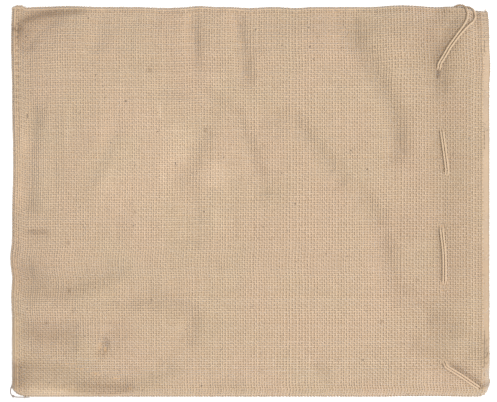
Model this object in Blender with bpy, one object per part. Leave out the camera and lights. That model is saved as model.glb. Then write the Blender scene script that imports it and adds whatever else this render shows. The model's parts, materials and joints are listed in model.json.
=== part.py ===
"""A jute frost protection bag, lying flat and empty.

One length of open hessian is folded along the -Y side, sewn across the -X end and along the +Y side, and
turned, so that the seams are inside. The mouth is at +X and has a narrow turned hem. A drawcord of doubled
twine runs round the mouth in running stitches through both layers. A loose loop of seam thread stands out at
the corner of the -X end and the fold.

Lengths here are millimetres, and meters() turns them into Blender's metres. +X is along the bag to its mouth,
+Y across it to the seam, and +Z up from the surface that it lies on.
"""

import math

import bmesh
import bpy
from mathutils import Vector

MM = 0.001

# The bag lying flat
LENGTH = 595.0
WIDTH = 487.5
WALL = 1.2
HEM_WALL = 2 * WALL
HEM_WIDTH = 10.0
HEM_STEP = 3.0
EDGE_GAP = 1.2
CROWN = 16.5
MOUTH_X = LENGTH / 2
SEAM_Y = WIDTH / 2
FOLD_Y = -WIDTH / 2
END_X = -LENGTH / 2

# How far in from each closed edge the top layer takes to rise to the crown, and how steeply
END_RISE = 42.0
FOLD_RISE = 34.0
SEAM_RISE = 38.0
RISE_POWER = 2.4
FOLD_FADE = 12.0

# The rounded edge, and how far in from it the pocket begins
EDGE_ROUND = 1.0
POCKET_INSET = 2.6

# The drawcord: two strands of twine side by side
CORD_X = 240.0
TWINE = 2.6
TWINE_APART = 3.1
CLEAR = 0.5
CORD_VALLEY_DEEP = 1.6
CORD_VALLEY_WIDE = 16.0
HOLE_LONG = 11.2
HOLE_WIDE = 7.0
HOLE_TALL = 6.0
DIVE_POINTS = ((-6.4, 0.0), (-2.3, 0.17), (2.3, 0.83), (6.4, 1.0))

# Where the cord passes below the back layer, that layer rides over it
GROUND = 0.3
LIFT = GROUND + TWINE + CLEAR
LIFT_FLAT = 4.2
LIFT_FADE = 13.0

# A point of the cord's turn over the seam edge that is raised less than this has the back layer over it
LOW_TURN = 1.0

# The loose loop of seam thread
THREAD = 1.5
TAIL_STEPS = 2

# Cells of the cloth along each axis: from, to, how many
X_SPANS = (
    (END_X, -294.0, 1),
    (-294.0, -284.0, 2),
    (-284.0, -281.0, 1),
    (-281.0, -268.0, 2),
    (-268.0, 212.0, 30),
    (212.0, 266.0, 9),
    (266.0, MOUTH_X - HEM_WIDTH, 3),
    (MOUTH_X - HEM_WIDTH, MOUTH_X - HEM_WIDTH + HEM_STEP, 1),
    (MOUTH_X - HEM_WIDTH + HEM_STEP, MOUTH_X, 3),
)
Y_SPANS = (
    (FOLD_Y, -232.0, 2),
    (-232.0, -208.0, 3),
    (-208.0, 208.0, 27),
    (208.0, 232.0, 3),
    (232.0, SEAM_Y, 2),
)

# Where the outline stands out or draws in: the edge, the place along it, the reach each way, how far out
EDGE_WAVES = (
    ("end", 200.0, 60.0, 1.3),
    ("end", 48.0, 75.0, -1.3),
    ("end", -77.0, 24.0, 2.3),
    ("end", -128.0, 22.0, 1.0),
    ("mouth", 172.0, 24.0, 1.2),
    ("mouth", -224.0, 8.0, 1.6),
    ("seam", -228.0, 36.0, 1.2),
    ("seam", -107.0, 36.0, -1.2),
    ("seam", -62.0, 20.0, 1.2),
    ("seam", 0.0, 26.0, -1.2),
    ("seam", 57.0, 22.0, -1.2),
    ("seam", 192.0, 42.0, 2.2),
    ("seam", 283.0, 15.0, -5.0),
    ("fold", 220.0, 60.0, -0.8),
)

# The corner of the seam and the end stands out as a small ear: the place along X, how far out
EAR = ((END_X, -1.0), (-294.0, 2.2), (-284.0, 2.6), (-281.0, -1.4), (-268.0, 0.0))

# The rounded corners on the fold: along X, along Y
END_CORNER = (20.0, 11.0)
MOUTH_CORNER = (12.0, 11.0)

# The main folds of the top layer: depth (raised if positive), half width, and the points that it runs through
FOLDS = (
    (-6.0, 24.0, ((-292, 238), (-280, 226))),
    (-5.5, 16.0, ((-292, -186), (-262, -203), (-219, -215), (-171, -230))),
    (-2.0, 12.0, ((-191, 236), (-191, 200))),
    (-3.0, 11.0, ((-69, 236), (-69, 188))),
    (-3.0, 11.0, ((-16, 238), (-8, 160))),
    (-2.4, 15.0, ((119, 230), (130, 205))),
    (-3.0, 14.0, ((119, 228), (154, 169), (181, 115), (184, 65))),
    (-2.6, 15.0, ((141, 6), (163, -39), (166, -81), (184, -114), (225, -151), (271, -181))),
    (-3.2, 13.0, ((21, 106), (54, 99), (75, 69), (109, 28))),
    (-2.8, 13.0, ((-106, 143), (-69, 140), (-23, 106), (-6, 65), (15, 15))),
    (-1.8, 12.0, ((-165, 90), (-198, 30))),
    (-2.2, 11.0, ((-271, 118), (-278, -4))),
    (-2.0, 13.0, ((-59, 86), (-83, 28), (-68, -41))),
    (-2.8, 14.0, ((-292, -104), (-238, -106), (-165, -88))),
    (-2.6, 13.0, ((-169, -119), (-131, -114), (-78, -138), (-79, -163))),
    (-2.6, 14.0, ((-292, -158), (-234, -163), (-180, -181))),
    (-2.0, 12.0, ((259, 230), (239, 190), (233, 143))),
    (-2.0, 8.0, ((262, -203), (283, -221), (298, -229))),
    (2.6, 12.0, ((290, -235), (296, -235))),
    (1.4, 16.0, ((-44, 66), (-44, -20))),
    (1.2, 16.0, ((-109, 50), (-109, -30))),
    (1.2, 18.0, ((60, 20), (30, -60))),
)

# The drawcord's route from its first ends at the mouth's corner on the fold, along the front, over the seam
# edge and along the back to its last ends inside the same corner: along X, along Y, and its place there. It
# lies over the front layer, inside under the front layer, inside on the back layer, or under the back layer,
# and dives through a layer between them.
ROUTE_FRONT = (
    (285.0, -231.6, "front dive out"),
    (263.0, -216.5, "front over"),
    (242.5, -200.0, "front dive in"),
    (241.0, -176.0, "front in"),
    (240.6, -157.0, "front in"),
    (240.8, -134.0, "front in"),
    (241.9, -101.3, "front dive out"),
    (241.9, -66.0, "front over"),
    (238.8, -31.3, "front dive in"),
    (241.0, 2.0, "front in"),
    (245.0, 35.0, "front dive out"),
    (242.6, 62.0, "front over"),
    (238.8, 90.0, "front dive in"),
    (236.6, 115.0, "front in"),
    (235.8, 141.0, "front in"),
    (235.6, 166.3, "front dive out"),
    (242.0, 181.5, "front over"),
    (249.5, 194.5, "front over"),
)
ROUTE_BACK = (
    (240.0, 190.0, "back dive in"),
    (241.5, 155.0, "back in"),
    (240.0, 120.0, "back dive out"),
    (238.6, 82.0, "back under"),
    (240.0, 45.0, "back dive in"),
    (241.4, 8.0, "back in"),
    (240.0, -30.0, "back dive out"),
    (238.8, -70.0, "back under"),
    (240.0, -110.0, "back dive in"),
    (241.2, -140.0, "back in"),
    (245.0, -180.0, "back in"),
    (254.0, -205.0, "back in"),
    (266.0, -218.0, "back in"),
    (276.0, -224.0, "back in"),
)
# Over the seam edge each strand turns on its own: along X, along Y, how far above its place there, that place
ARC_A = (
    (259.5, 211.0, 0.0, "front over"),
    (265.5, 219.0, 0.0, "front over"),
    (270.5, 227.5, 0.0, "front over"),
    (272.0, 235.6, 0.2, "front over"),
    (270.2, 242.4, 7.7, "back under"),
    (267.0, 246.0, 5.2, "back under"),
    (262.0, 246.8, 2.2, "back under"),
    (257.2, 244.8, 0.5, "back under"),
    (252.8, 239.4, 0.0, "back under"),
    (246.6, 222.0, 0.0, "back under"),
    (242.6, 207.0, 0.0, "back under"),
)
ARC_B = (
    (264.0, 211.0, 0.0, "front over"),
    (272.6, 219.8, 0.0, "front over"),
    (279.0, 225.4, 0.0, "front over"),
    (281.6, 231.6, 0.1, "front over"),
    (281.2, 236.6, 0.3, "front over"),
    (280.0, 240.2, 6.0, "back under"),
    (277.6, 242.8, 2.9, "back under"),
    (272.8, 244.7, 0.9, "back under"),
    (267.6, 243.4, 0.2, "back under"),
    (262.4, 237.8, 0.0, "back under"),
    (253.6, 221.0, 0.0, "back under"),
    (246.8, 206.6, 0.0, "back under"),
)

# The thread tail's route round the corner, outside it: along X, along Y, up
TAIL_ROUTE = (
    (-299.3, -226.0, 1.3),
    (-299.9, -229.8, 1.1),
    (-300.6, -234.0, 1.0),
    (-300.9, -238.4, 0.9),
    (-299.9, -242.2, 0.9),
    (-297.2, -244.4, 0.9),
    (-293.6, -245.2, 0.9),
    (-288.0, -245.4, 0.9),
    (-282.0, -245.5, 1.0),
    (-276.0, -245.4, 1.2),
)

HESSIAN_COLOUR = (0.60, 0.44, 0.30, 1.0)
TWINE_COLOUR = (0.66, 0.48, 0.31, 1.0)
THREAD_COLOUR = (0.42, 0.35, 0.30, 1.0)
CLOTH_ROUGHNESS = 0.9


def clamp(value, low=0.0, high=1.0):
    return min(max(value, low), high)


def smooth(value):
    t = clamp(value)
    return t * t * (3 - 2 * t)


def hump(t):
    """1 at 0, falling smoothly to 0 at 1 and past it."""
    return (1 - t * t) ** 2 if abs(t) < 1 else 0.0


def distance_to_path(x, y, path):
    nearest = math.inf
    for (ax, ay), (bx, by) in zip(path, path[1:]):
        along_x, along_y = bx - ax, by - ay
        t = clamp(((x - ax) * along_x + (y - ay) * along_y) / (along_x**2 + along_y**2))
        nearest = min(nearest, math.hypot(x - ax - t * along_x, y - ay - t * along_y))
    return nearest


def between(x, table):
    """The value at x of a table of (place, value) rows, in straight lines from row to row."""
    for (ax, a), (bx, b) in zip(table, table[1:]):
        if x <= bx:
            return a + (b - a) * clamp((x - ax) / (bx - ax))
    return table[-1][1]


# The outline


def wave(edge, place):
    return sum(out * hump((place - at) / reach) for name, at, reach, out in EDGE_WAVES if name == edge)


def corner(from_end, size):
    """How far a rounded corner has drawn the fold edge in, at a distance along X from its end."""
    t = 1 - clamp(from_end / size[0])
    return size[1] * (1 - math.sqrt(1 - t * t))


def end_edge(y):
    return END_X - wave("end", y)


def mouth_edge(y):
    return MOUTH_X + wave("mouth", y)


def fold_edge(x):
    rounded = corner(x - END_X, END_CORNER) + corner(MOUTH_X - x, MOUTH_CORNER)
    return FOLD_Y - wave("fold", x) + rounded


def seam_edge(x):
    return SEAM_Y + wave("seam", x) + between(x, EAR)


def place(x, y, inset):
    """A point of the bag's plain rectangle, moved to its real outline, in from the three closed edges."""
    u = (x - END_X) / LENGTH
    v = (y - FOLD_Y) / WIDTH
    real_x = (end_edge(y) + inset) * (1 - u) + mouth_edge(y) * u
    real_y = (fold_edge(real_x) + inset) * (1 - v) + (seam_edge(real_x) - inset) * v
    return real_x, real_y


# The heights of the two layers


def wall(x):
    """The cloth's thickness, doubled in the turned hem."""
    return WALL + (HEM_WALL - WALL) * clamp((x - MOUTH_X + HEM_WIDTH) / HEM_STEP)


def edge_height(x):
    return 2 * wall(x) + EDGE_GAP


def rise(distance, reach):
    return 1 - (1 - clamp(distance / reach)) ** RISE_POWER


def closed_distances(x, y):
    return x - end_edge(y), y - fold_edge(x), seam_edge(x) - y


def lift(x, y):
    """How far the back layer is raised over the cord below it."""
    most = 0.0
    for path in UNDER_PATHS:
        far = distance_to_path(x, y, path) - LIFT_FLAT
        most = max(most, 1 - smooth(far / LIFT_FADE))
    return LIFT * most


def front(x, y):
    """The height of the front layer's upper face."""
    from_end, from_fold, from_seam = closed_distances(x, y)
    full = rise(from_end, END_RISE) * rise(from_fold, FOLD_RISE) * rise(from_seam, SEAM_RISE)
    low = edge_height(x)
    relief = -CORD_VALLEY_DEEP * math.exp(-(((x - CORD_X) / CORD_VALLEY_WIDE) ** 2))
    for depth, half_width, path in FOLDS:
        relief += depth * math.exp(-((distance_to_path(x, y, path) / half_width) ** 2))
    fade = smooth(min(from_end, from_fold, from_seam) / FOLD_FADE)
    raised = lift(x, y)
    height = low + (CROWN - low) * full + relief * fade + raised * (1 - full)
    return max(height, low + raised)


# The cloth, one closed body with its pocket open at the mouth


def meters(x, y, z):
    return Vector((x, y, z)) * MM


def stations(spans):
    found = [spans[0][0]]
    for low, high, cells in spans:
        found += [low + (high - low) * (n + 1) / cells for n in range(cells)]
    return found


def sheet(bm, inset, height):
    """A grid of points, one row for each station along X."""
    rows = []
    for x in stations(X_SPANS):
        row = []
        for y in stations(Y_SPANS):
            real_x, real_y = place(x, y, inset)
            row.append(bm.verts.new(meters(real_x, real_y, height(real_x, real_y))))
        rows.append(row)
    for a, b in zip(rows, rows[1:]):
        for n in range(len(a) - 1):
            bm.faces.new((a[n], b[n], b[n + 1], a[n + 1]))
    return rows


def closed_sides(rows):
    """The points along the fold, the end and the seam, from mouth to mouth."""
    fold = [row[0] for row in reversed(rows)]
    end = rows[0][1:]
    seam = [row[-1] for row in rows[1:]]
    return fold + end + seam


def strip(bm, one, other):
    for n in range(len(one) - 1):
        bm.faces.new((one[n], one[n + 1], other[n + 1], other[n]))


def edge_line(bm):
    """The outermost line of the rounded edge, halfway up it."""
    xs, ys = stations(X_SPANS), stations(Y_SPANS)
    route = [(x, FOLD_Y) for x in reversed(xs)] + [(END_X, y) for y in ys[1:]] + [(x, SEAM_Y) for x in xs[1:]]
    line = []
    for x, y in route:
        real_x, real_y = place(x, y, 0.0)
        line.append(bm.verts.new(meters(real_x, real_y, lift(real_x, real_y) + edge_height(real_x) / 2)))
    return line


def cloth_mesh():
    bm = bmesh.new()
    front_outside = sheet(bm, EDGE_ROUND, front)
    back_outside = sheet(bm, EDGE_ROUND, lift)
    front_inside = sheet(bm, POCKET_INSET, lambda x, y: front(x, y) - wall(x))
    back_inside = sheet(bm, POCKET_INSET, lambda x, y: lift(x, y) + wall(x))
    edge = edge_line(bm)
    strip(bm, closed_sides(front_outside), edge)
    strip(bm, edge, closed_sides(back_outside))
    strip(bm, closed_sides(front_inside), closed_sides(back_inside))
    strip(bm, front_outside[-1], front_inside[-1])
    strip(bm, back_outside[-1], back_inside[-1])
    for side, middle in ((0, edge[0]), (-1, edge[-1])):
        layers = (front_outside, front_inside, back_inside, back_outside)
        bm.faces.new([rows[-1][side] for rows in layers] + [middle])
    bmesh.ops.recalc_face_normals(bm, faces=bm.faces)
    mesh = bpy.data.meshes.new("bag_cloth")
    bm.to_mesh(mesh)
    bm.free()
    return mesh


# The drawcord


def level(x, y, where):
    """The height of a strand's middle at a place on its route, clear of the cloth over its whole width."""
    half = TWINE / 2
    across = [(x, y), (x + half, y), (x - half, y), (x, y + half), (x, y - half)]
    if where == "front over":
        return max(front(*at) for at in across) + CLEAR + half
    if where == "front in":
        return min(front(*at) - wall(at[0]) for at in across) - CLEAR - half
    if where == "back in":
        return max(lift(*at) + wall(at[0]) for at in across) + CLEAR + half
    return GROUND + half


def heading(route, n):
    ax, ay = route[max(n - 1, 0)][:2]
    bx, by = route[min(n + 1, len(route) - 1)][:2]
    size = math.hypot(bx - ax, by - ay)
    return (bx - ax) / size, (by - ay) / size


DIVES = {
    "front dive out": ("front in", "front over"),
    "front dive in": ("front over", "front in"),
    "back dive in": ("back under", "back in"),
    "back dive out": ("back in", "back under"),
}


def pair_points(route, side):
    """The points of one strand along a stretch where the two lie side by side."""
    points = []
    for n, (x, y, where) in enumerate(route):
        dx, dy = heading(route, n)
        x, y = x - dy * side * TWINE_APART / 2, y + dx * side * TWINE_APART / 2
        if where not in DIVES:
            points.append((x, y, level(x, y, where)))
            continue
        before, after = DIVES[where]
        for along, share in DIVE_POINTS:
            px, py = x + dx * along, y + dy * along
            points.append((px, py, level(px, py, before) * (1 - share) + level(px, py, after) * share))
    return points


def strand_points(side, arc):
    """A strand on the left of its way along the front is on the right of it along the back."""
    over = [(x, y, up + level(x, y, where)) for x, y, up, where in arc]
    return pair_points(ROUTE_FRONT, side) + over + pair_points(ROUTE_BACK, -side)


def under_paths():
    """The stretches of the back layer that have a strand below them, as paths in X and Y."""
    paths = []
    for arc in (ARC_A, ARC_B):
        below = [(x, y) for x, y, up, where in arc if where == "back under" and up < LOW_TURN]
        paths.append(below + [ROUTE_BACK[0][:2]])
    dives = [(x, y) for x, y, where in ROUTE_BACK if where in DIVES]
    paths += [dives[n : n + 2] for n in range(1, len(dives), 2)]
    return paths


UNDER_PATHS = under_paths()


def smooth_curve(points, steps):
    """A Catmull-Rom curve through the points, read at so many places from each point to the next."""
    ends = [Vector(at) for at in (points[0], *points, points[-1])]
    found = []
    for a, b, c, d in zip(ends, ends[1:], ends[2:], ends[3:]):
        for n in range(steps):
            t = n / steps
            bent = (2 * a - 5 * b + 4 * c - d) * t**2 + (3 * b - a - 3 * c + d) * t**3
            found.append(0.5 * (2 * b + (c - a) * t + bent))
    return found + [ends[-1]]


def tube(name, points, diameter, material):
    curve = bpy.data.curves.new(name, "CURVE")
    curve.dimensions = "3D"
    curve.bevel_depth = diameter / 2 * MM
    curve.bevel_resolution = 2
    curve.use_fill_caps = True
    curve.twist_mode = "MINIMUM"
    spline = curve.splines.new("POLY")
    spline.points.add(len(points) - 1)
    for point, at in zip(spline.points, points):
        point.co = (*meters(*at), 1.0)
    return add_object(name, curve, material)


# The holes where the pair of strands passes through the cloth


def hole_places():
    """Each hole: its middle, the cord's heading there, and the height of the cloth's middle."""
    places = []
    for route, layer in ((ROUTE_FRONT, "front"), (ROUTE_BACK, "back")):
        for n, (x, y, where) in enumerate(route):
            if where in DIVES:
                middle = front(x, y) - wall(x) / 2 if layer == "front" else lift(x, y) + wall(x) / 2
                places.append((x, y, middle, heading(route, n)))
    return places


def hole_cutter():
    bm = bmesh.new()
    for x, y, middle, (dx, dy) in hole_places():
        along = Vector((dx, dy, 0)) * HOLE_LONG / 2
        across = Vector((-dy, dx, 0)) * HOLE_WIDE / 2
        up = Vector((0, 0, HOLE_TALL / 2))
        centre = Vector((x, y, middle))
        outline = (-along - across, along - across, along + across, across - along)
        low = [bm.verts.new((centre + at - up) * MM) for at in outline]
        high = [bm.verts.new((centre + at + up) * MM) for at in outline]
        bm.faces.new(reversed(low))
        bm.faces.new(high)
        for n in range(4):
            bm.faces.new((low[n], low[(n + 1) % 4], high[(n + 1) % 4], high[n]))
    mesh = bpy.data.meshes.new("hole_cutter")
    bm.to_mesh(mesh)
    bm.free()
    cutter = bpy.data.objects.new("hole_cutter", mesh)
    bpy.context.scene.collection.objects.link(cutter)
    cutter.hide_render = True
    cutter.display_type = "WIRE"
    return cutter


# Objects and materials


def cloth_material(name, colour):
    material = bpy.data.materials.new(name)
    material.use_nodes = True
    shader = material.node_tree.nodes["Principled BSDF"]
    shader.inputs["Base Color"].default_value = colour
    shader.inputs["Roughness"].default_value = CLOTH_ROUGHNESS
    shader.inputs["Metallic"].default_value = 0.0
    return material


def add_object(name, data, material):
    made = bpy.data.objects.new(name, data)
    data.materials.append(material)
    bpy.context.scene.collection.objects.link(made)
    return made


def main():
    for old in list(bpy.data.objects):
        bpy.data.objects.remove(old, do_unlink=True)
    bag = add_object("bag_cloth", cloth_mesh(), cloth_material("hessian", HESSIAN_COLOUR))
    cut = bag.modifiers.new("cord_holes", "BOOLEAN")
    cut.operation = "DIFFERENCE"
    cut.solver = "EXACT"
    cut.object = hole_cutter()
    strands = (("drawcord_strand_a", 1, ARC_A), ("drawcord_strand_b", -1, ARC_B))
    for name, side, arc in strands:
        tube(name, strand_points(side, arc), TWINE, cloth_material(name + "_twine", TWINE_COLOUR))
    tail = smooth_curve(TAIL_ROUTE, TAIL_STEPS)
    tube("seam_thread_tail", tail, THREAD, cloth_material("seam_thread", THREAD_COLOUR))


main()
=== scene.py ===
"""A jute frost protection bag lying flat and empty: its threads, drawcord, hem, stitches and light.

Lengths in the shape functions are millimetres, and MM turns them into Blender's metres. +X is along the bag
to its mouth, +Y across it to the seam, and +Z up from the surface that it lies on.
"""

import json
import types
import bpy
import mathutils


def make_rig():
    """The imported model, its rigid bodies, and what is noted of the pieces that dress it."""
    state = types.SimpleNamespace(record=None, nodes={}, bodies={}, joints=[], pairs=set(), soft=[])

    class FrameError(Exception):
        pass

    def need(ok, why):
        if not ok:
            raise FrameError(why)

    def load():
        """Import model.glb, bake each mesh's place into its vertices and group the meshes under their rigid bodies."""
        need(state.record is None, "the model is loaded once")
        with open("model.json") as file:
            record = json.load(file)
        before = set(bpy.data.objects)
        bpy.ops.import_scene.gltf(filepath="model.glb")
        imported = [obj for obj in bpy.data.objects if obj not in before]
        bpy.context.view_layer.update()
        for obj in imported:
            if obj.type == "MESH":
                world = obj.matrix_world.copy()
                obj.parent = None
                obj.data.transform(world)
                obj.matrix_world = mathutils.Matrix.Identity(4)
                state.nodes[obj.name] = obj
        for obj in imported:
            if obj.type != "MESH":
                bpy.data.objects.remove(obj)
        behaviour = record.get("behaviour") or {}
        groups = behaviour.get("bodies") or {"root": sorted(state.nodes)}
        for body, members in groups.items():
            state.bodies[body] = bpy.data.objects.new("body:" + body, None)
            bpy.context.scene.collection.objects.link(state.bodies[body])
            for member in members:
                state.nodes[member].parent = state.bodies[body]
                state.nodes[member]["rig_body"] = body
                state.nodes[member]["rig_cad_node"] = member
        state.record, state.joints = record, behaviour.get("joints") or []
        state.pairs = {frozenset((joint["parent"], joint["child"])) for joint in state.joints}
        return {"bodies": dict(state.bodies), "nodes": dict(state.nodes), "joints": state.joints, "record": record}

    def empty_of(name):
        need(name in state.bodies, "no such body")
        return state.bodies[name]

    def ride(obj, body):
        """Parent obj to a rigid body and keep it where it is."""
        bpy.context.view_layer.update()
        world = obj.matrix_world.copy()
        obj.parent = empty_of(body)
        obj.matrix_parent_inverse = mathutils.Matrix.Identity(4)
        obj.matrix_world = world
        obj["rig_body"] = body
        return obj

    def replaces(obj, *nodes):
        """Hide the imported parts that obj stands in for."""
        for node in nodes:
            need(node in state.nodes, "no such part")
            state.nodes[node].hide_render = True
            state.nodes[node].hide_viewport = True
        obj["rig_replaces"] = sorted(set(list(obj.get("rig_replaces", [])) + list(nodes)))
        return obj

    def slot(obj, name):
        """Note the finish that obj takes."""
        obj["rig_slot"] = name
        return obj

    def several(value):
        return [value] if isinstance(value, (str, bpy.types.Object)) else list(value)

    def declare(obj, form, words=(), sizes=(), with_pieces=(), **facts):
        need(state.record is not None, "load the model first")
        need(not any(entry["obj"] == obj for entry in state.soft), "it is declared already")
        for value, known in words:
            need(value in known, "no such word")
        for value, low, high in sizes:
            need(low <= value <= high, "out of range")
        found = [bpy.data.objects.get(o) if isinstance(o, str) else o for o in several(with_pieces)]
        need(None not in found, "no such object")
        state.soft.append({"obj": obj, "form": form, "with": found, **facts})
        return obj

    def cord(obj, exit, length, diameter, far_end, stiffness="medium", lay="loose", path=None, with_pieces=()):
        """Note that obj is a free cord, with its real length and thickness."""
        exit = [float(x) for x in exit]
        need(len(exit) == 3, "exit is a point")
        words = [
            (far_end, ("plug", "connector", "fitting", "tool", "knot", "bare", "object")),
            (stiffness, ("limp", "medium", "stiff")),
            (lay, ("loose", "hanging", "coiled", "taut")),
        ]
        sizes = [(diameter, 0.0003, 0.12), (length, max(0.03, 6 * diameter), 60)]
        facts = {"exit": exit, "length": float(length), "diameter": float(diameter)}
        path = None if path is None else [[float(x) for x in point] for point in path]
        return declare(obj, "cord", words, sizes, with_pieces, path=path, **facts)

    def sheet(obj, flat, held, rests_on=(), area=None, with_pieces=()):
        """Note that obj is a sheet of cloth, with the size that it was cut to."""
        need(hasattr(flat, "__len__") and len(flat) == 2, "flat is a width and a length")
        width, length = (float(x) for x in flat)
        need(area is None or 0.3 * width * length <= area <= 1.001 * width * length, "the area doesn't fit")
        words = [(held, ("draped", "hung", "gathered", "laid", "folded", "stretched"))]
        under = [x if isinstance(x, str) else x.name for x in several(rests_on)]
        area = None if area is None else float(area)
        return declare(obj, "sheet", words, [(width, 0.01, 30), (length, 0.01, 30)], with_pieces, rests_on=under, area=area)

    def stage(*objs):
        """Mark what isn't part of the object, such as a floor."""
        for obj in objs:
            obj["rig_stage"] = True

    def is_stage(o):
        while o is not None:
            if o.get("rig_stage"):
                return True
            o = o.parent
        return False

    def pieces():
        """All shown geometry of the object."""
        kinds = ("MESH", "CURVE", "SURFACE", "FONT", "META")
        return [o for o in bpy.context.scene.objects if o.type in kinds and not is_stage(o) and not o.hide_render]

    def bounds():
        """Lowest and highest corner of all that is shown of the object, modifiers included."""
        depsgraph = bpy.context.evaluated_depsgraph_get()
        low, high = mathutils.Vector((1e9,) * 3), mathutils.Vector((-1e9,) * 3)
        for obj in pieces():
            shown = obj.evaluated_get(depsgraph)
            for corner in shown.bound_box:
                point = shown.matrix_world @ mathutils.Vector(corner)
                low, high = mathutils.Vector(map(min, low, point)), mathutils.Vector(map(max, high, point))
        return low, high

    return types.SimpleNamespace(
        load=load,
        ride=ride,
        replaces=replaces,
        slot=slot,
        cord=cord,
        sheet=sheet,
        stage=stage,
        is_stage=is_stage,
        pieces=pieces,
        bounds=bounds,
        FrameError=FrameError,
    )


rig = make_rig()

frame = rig.load()
CAD_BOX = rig.bounds()

import json
import math

import bmesh
import bpy
import numpy as np
from bpy.props import FloatProperty, FloatVectorProperty, IntProperty, PointerProperty
from bpy.types import Operator, Panel, PropertyGroup
from mathutils import Vector

bl_info = {
    "name": "Jute frost protection bag",
    "version": (1, 0, 0),
    "blender": (4, 5, 0),
    "location": "3D View > Sidebar > Jute bag",
    "description": "Weaves a hessian bag and threads its drawcord on a packed frame",
    "category": "Add Mesh",
}

MM = 0.001
SIZE_FILE = "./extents.json"

# The bag's shape, as its solid has it
LENGTH = 595.0
WIDTH = 487.5
WALL = 1.2
HEM_WALL = 2 * WALL
HEM_WIDTH = 10.0
HEM_STEP = 3.0
EDGE_GAP = 1.2
CROWN = 16.5
MOUTH_X = LENGTH / 2
SEAM_Y = WIDTH / 2
FOLD_Y = -WIDTH / 2
END_X = -LENGTH / 2
END_RISE = 42.0
FOLD_RISE = 34.0
SEAM_RISE = 38.0
RISE_POWER = 2.4
FOLD_FADE = 12.0
EDGE_ROUND = 1.0
POCKET_INSET = 2.6

# How many threads cross the bag, and how many run along it
THREADS_ALONG = 180
THREADS_ACROSS = 177

# The drawcord: two strands of twine side by side, and the dip that they draw in the front layer
CORD_X = 240.0
TWINE = 2.6
TWINE_APART = 3.1
CORD_VALLEY_DEEP = 1.6
CORD_VALLEY_WIDE = 16.0

# A ply's half width and how far it lies from its twine's middle, as shares of the twine's width
PLY_THICK = 0.26
PLY_APART = 0.255

# Where a strand goes through the cloth: how far along from the hole's middle, and how far through it is
DIVE_POINTS = ((-6.4, 0.0), (-2.3, 0.17), (2.3, 0.83), (6.4, 1.0))

# How clear of the cloth the cord lies, how high it lies under the back layer, and how far that is raised
# over it: wholly this near to it, fading over this much more, and only where a turn is still this low
CLEAR = 0.5
GROUND = 0.3
LIFT = GROUND + TWINE + CLEAR
LIFT_FLAT = 4.2
LIFT_FADE = 13.0
LOW_TURN = 1.0

# How much painted shade darkens the cord where it goes over the seam edge, and how far from the edge that begins
CORD_SHADE = 0.42
CORD_SHADE_FROM = 5.0

# The loose loop of seam thread: its width, how many points its curve has from each place to the next, and how
# far apart its plies' points are
THREAD = 1.5
TAIL_STEPS = 4
TAIL_STEP = 0.5

# Where the outline stands out or draws in: the edge, the place along it, the reach each way, how far out
EDGE_WAVES = (
    ("end", 200.0, 60.0, 1.3),
    ("end", 48.0, 75.0, -1.3),
    ("end", -77.0, 24.0, 2.3),
    ("end", -128.0, 22.0, 1.0),
    ("mouth", 172.0, 24.0, 1.2),
    ("mouth", -236.5, 7.0, 2.2),
    ("seam", -228.0, 36.0, 1.2),
    ("seam", -107.0, 36.0, -1.2),
    ("seam", -62.0, 20.0, 1.2),
    ("seam", 0.0, 26.0, -1.2),
    ("seam", 57.0, 22.0, -1.2),
    ("seam", 192.0, 42.0, 2.2),
    ("seam", 283.0, 15.0, -5.0),
    ("seam", 296.0, 10.0, -5.2),
    ("fold", 220.0, 60.0, -0.8),
)

# The corner of the seam and the end stands out as a small ear: the place along X, how far out
EAR = ((END_X, -1.0), (-294.8, 2.2), (-289.5, 1.5), (-286.4, 2.6), (-283.2, -0.9), (-268.0, 0.0))

# The rounded corners on the fold: along X, along Y
END_CORNER = (20.0, 11.0)
MOUTH_CORNER = (12.0, 11.0)

# The main folds of the top layer: depth (raised if positive), half width, and the points that it runs through
FOLDS = (
    (-6.0, 24.0, ((-292, 238), (-280, 226))),
    (-5.5, 16.0, ((-292, -186), (-262, -203), (-219, -215), (-171, -230))),
    (-2.0, 12.0, ((-191, 236), (-191, 200))),
    (-3.0, 11.0, ((-69, 236), (-69, 188))),
    (-3.0, 11.0, ((-16, 238), (-8, 160))),
    (-2.4, 15.0, ((119, 230), (130, 205))),
    (-3.0, 14.0, ((119, 228), (154, 169), (181, 115), (184, 65))),
    (-2.6, 15.0, ((141, 6), (163, -39), (166, -81), (184, -114), (225, -151), (271, -181))),
    (-3.2, 13.0, ((21, 106), (54, 99), (75, 69), (109, 28))),
    (-2.8, 13.0, ((-106, 143), (-69, 140), (-23, 106), (-6, 65), (15, 15))),
    (-1.8, 12.0, ((-165, 90), (-198, 30))),
    (-2.2, 11.0, ((-271, 118), (-278, -4))),
    (-2.0, 13.0, ((-59, 86), (-83, 28), (-68, -41))),
    (-2.8, 14.0, ((-292, -104), (-238, -106), (-165, -88))),
    (-2.6, 13.0, ((-169, -119), (-131, -114), (-78, -138), (-79, -163))),
    (-2.6, 14.0, ((-292, -158), (-234, -163), (-180, -181))),
    (-2.0, 12.0, ((259, 230), (239, 190), (233, 143))),
    (-2.0, 8.0, ((262, -203), (283, -221), (298, -229))),
    (2.6, 12.0, ((290, -235), (296, -235))),
    (1.4, 16.0, ((-44, 66), (-44, -20))),
    (1.2, 16.0, ((-109, 50), (-109, -30))),
    (1.2, 18.0, ((60, 20), (30, -60))),
)

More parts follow.
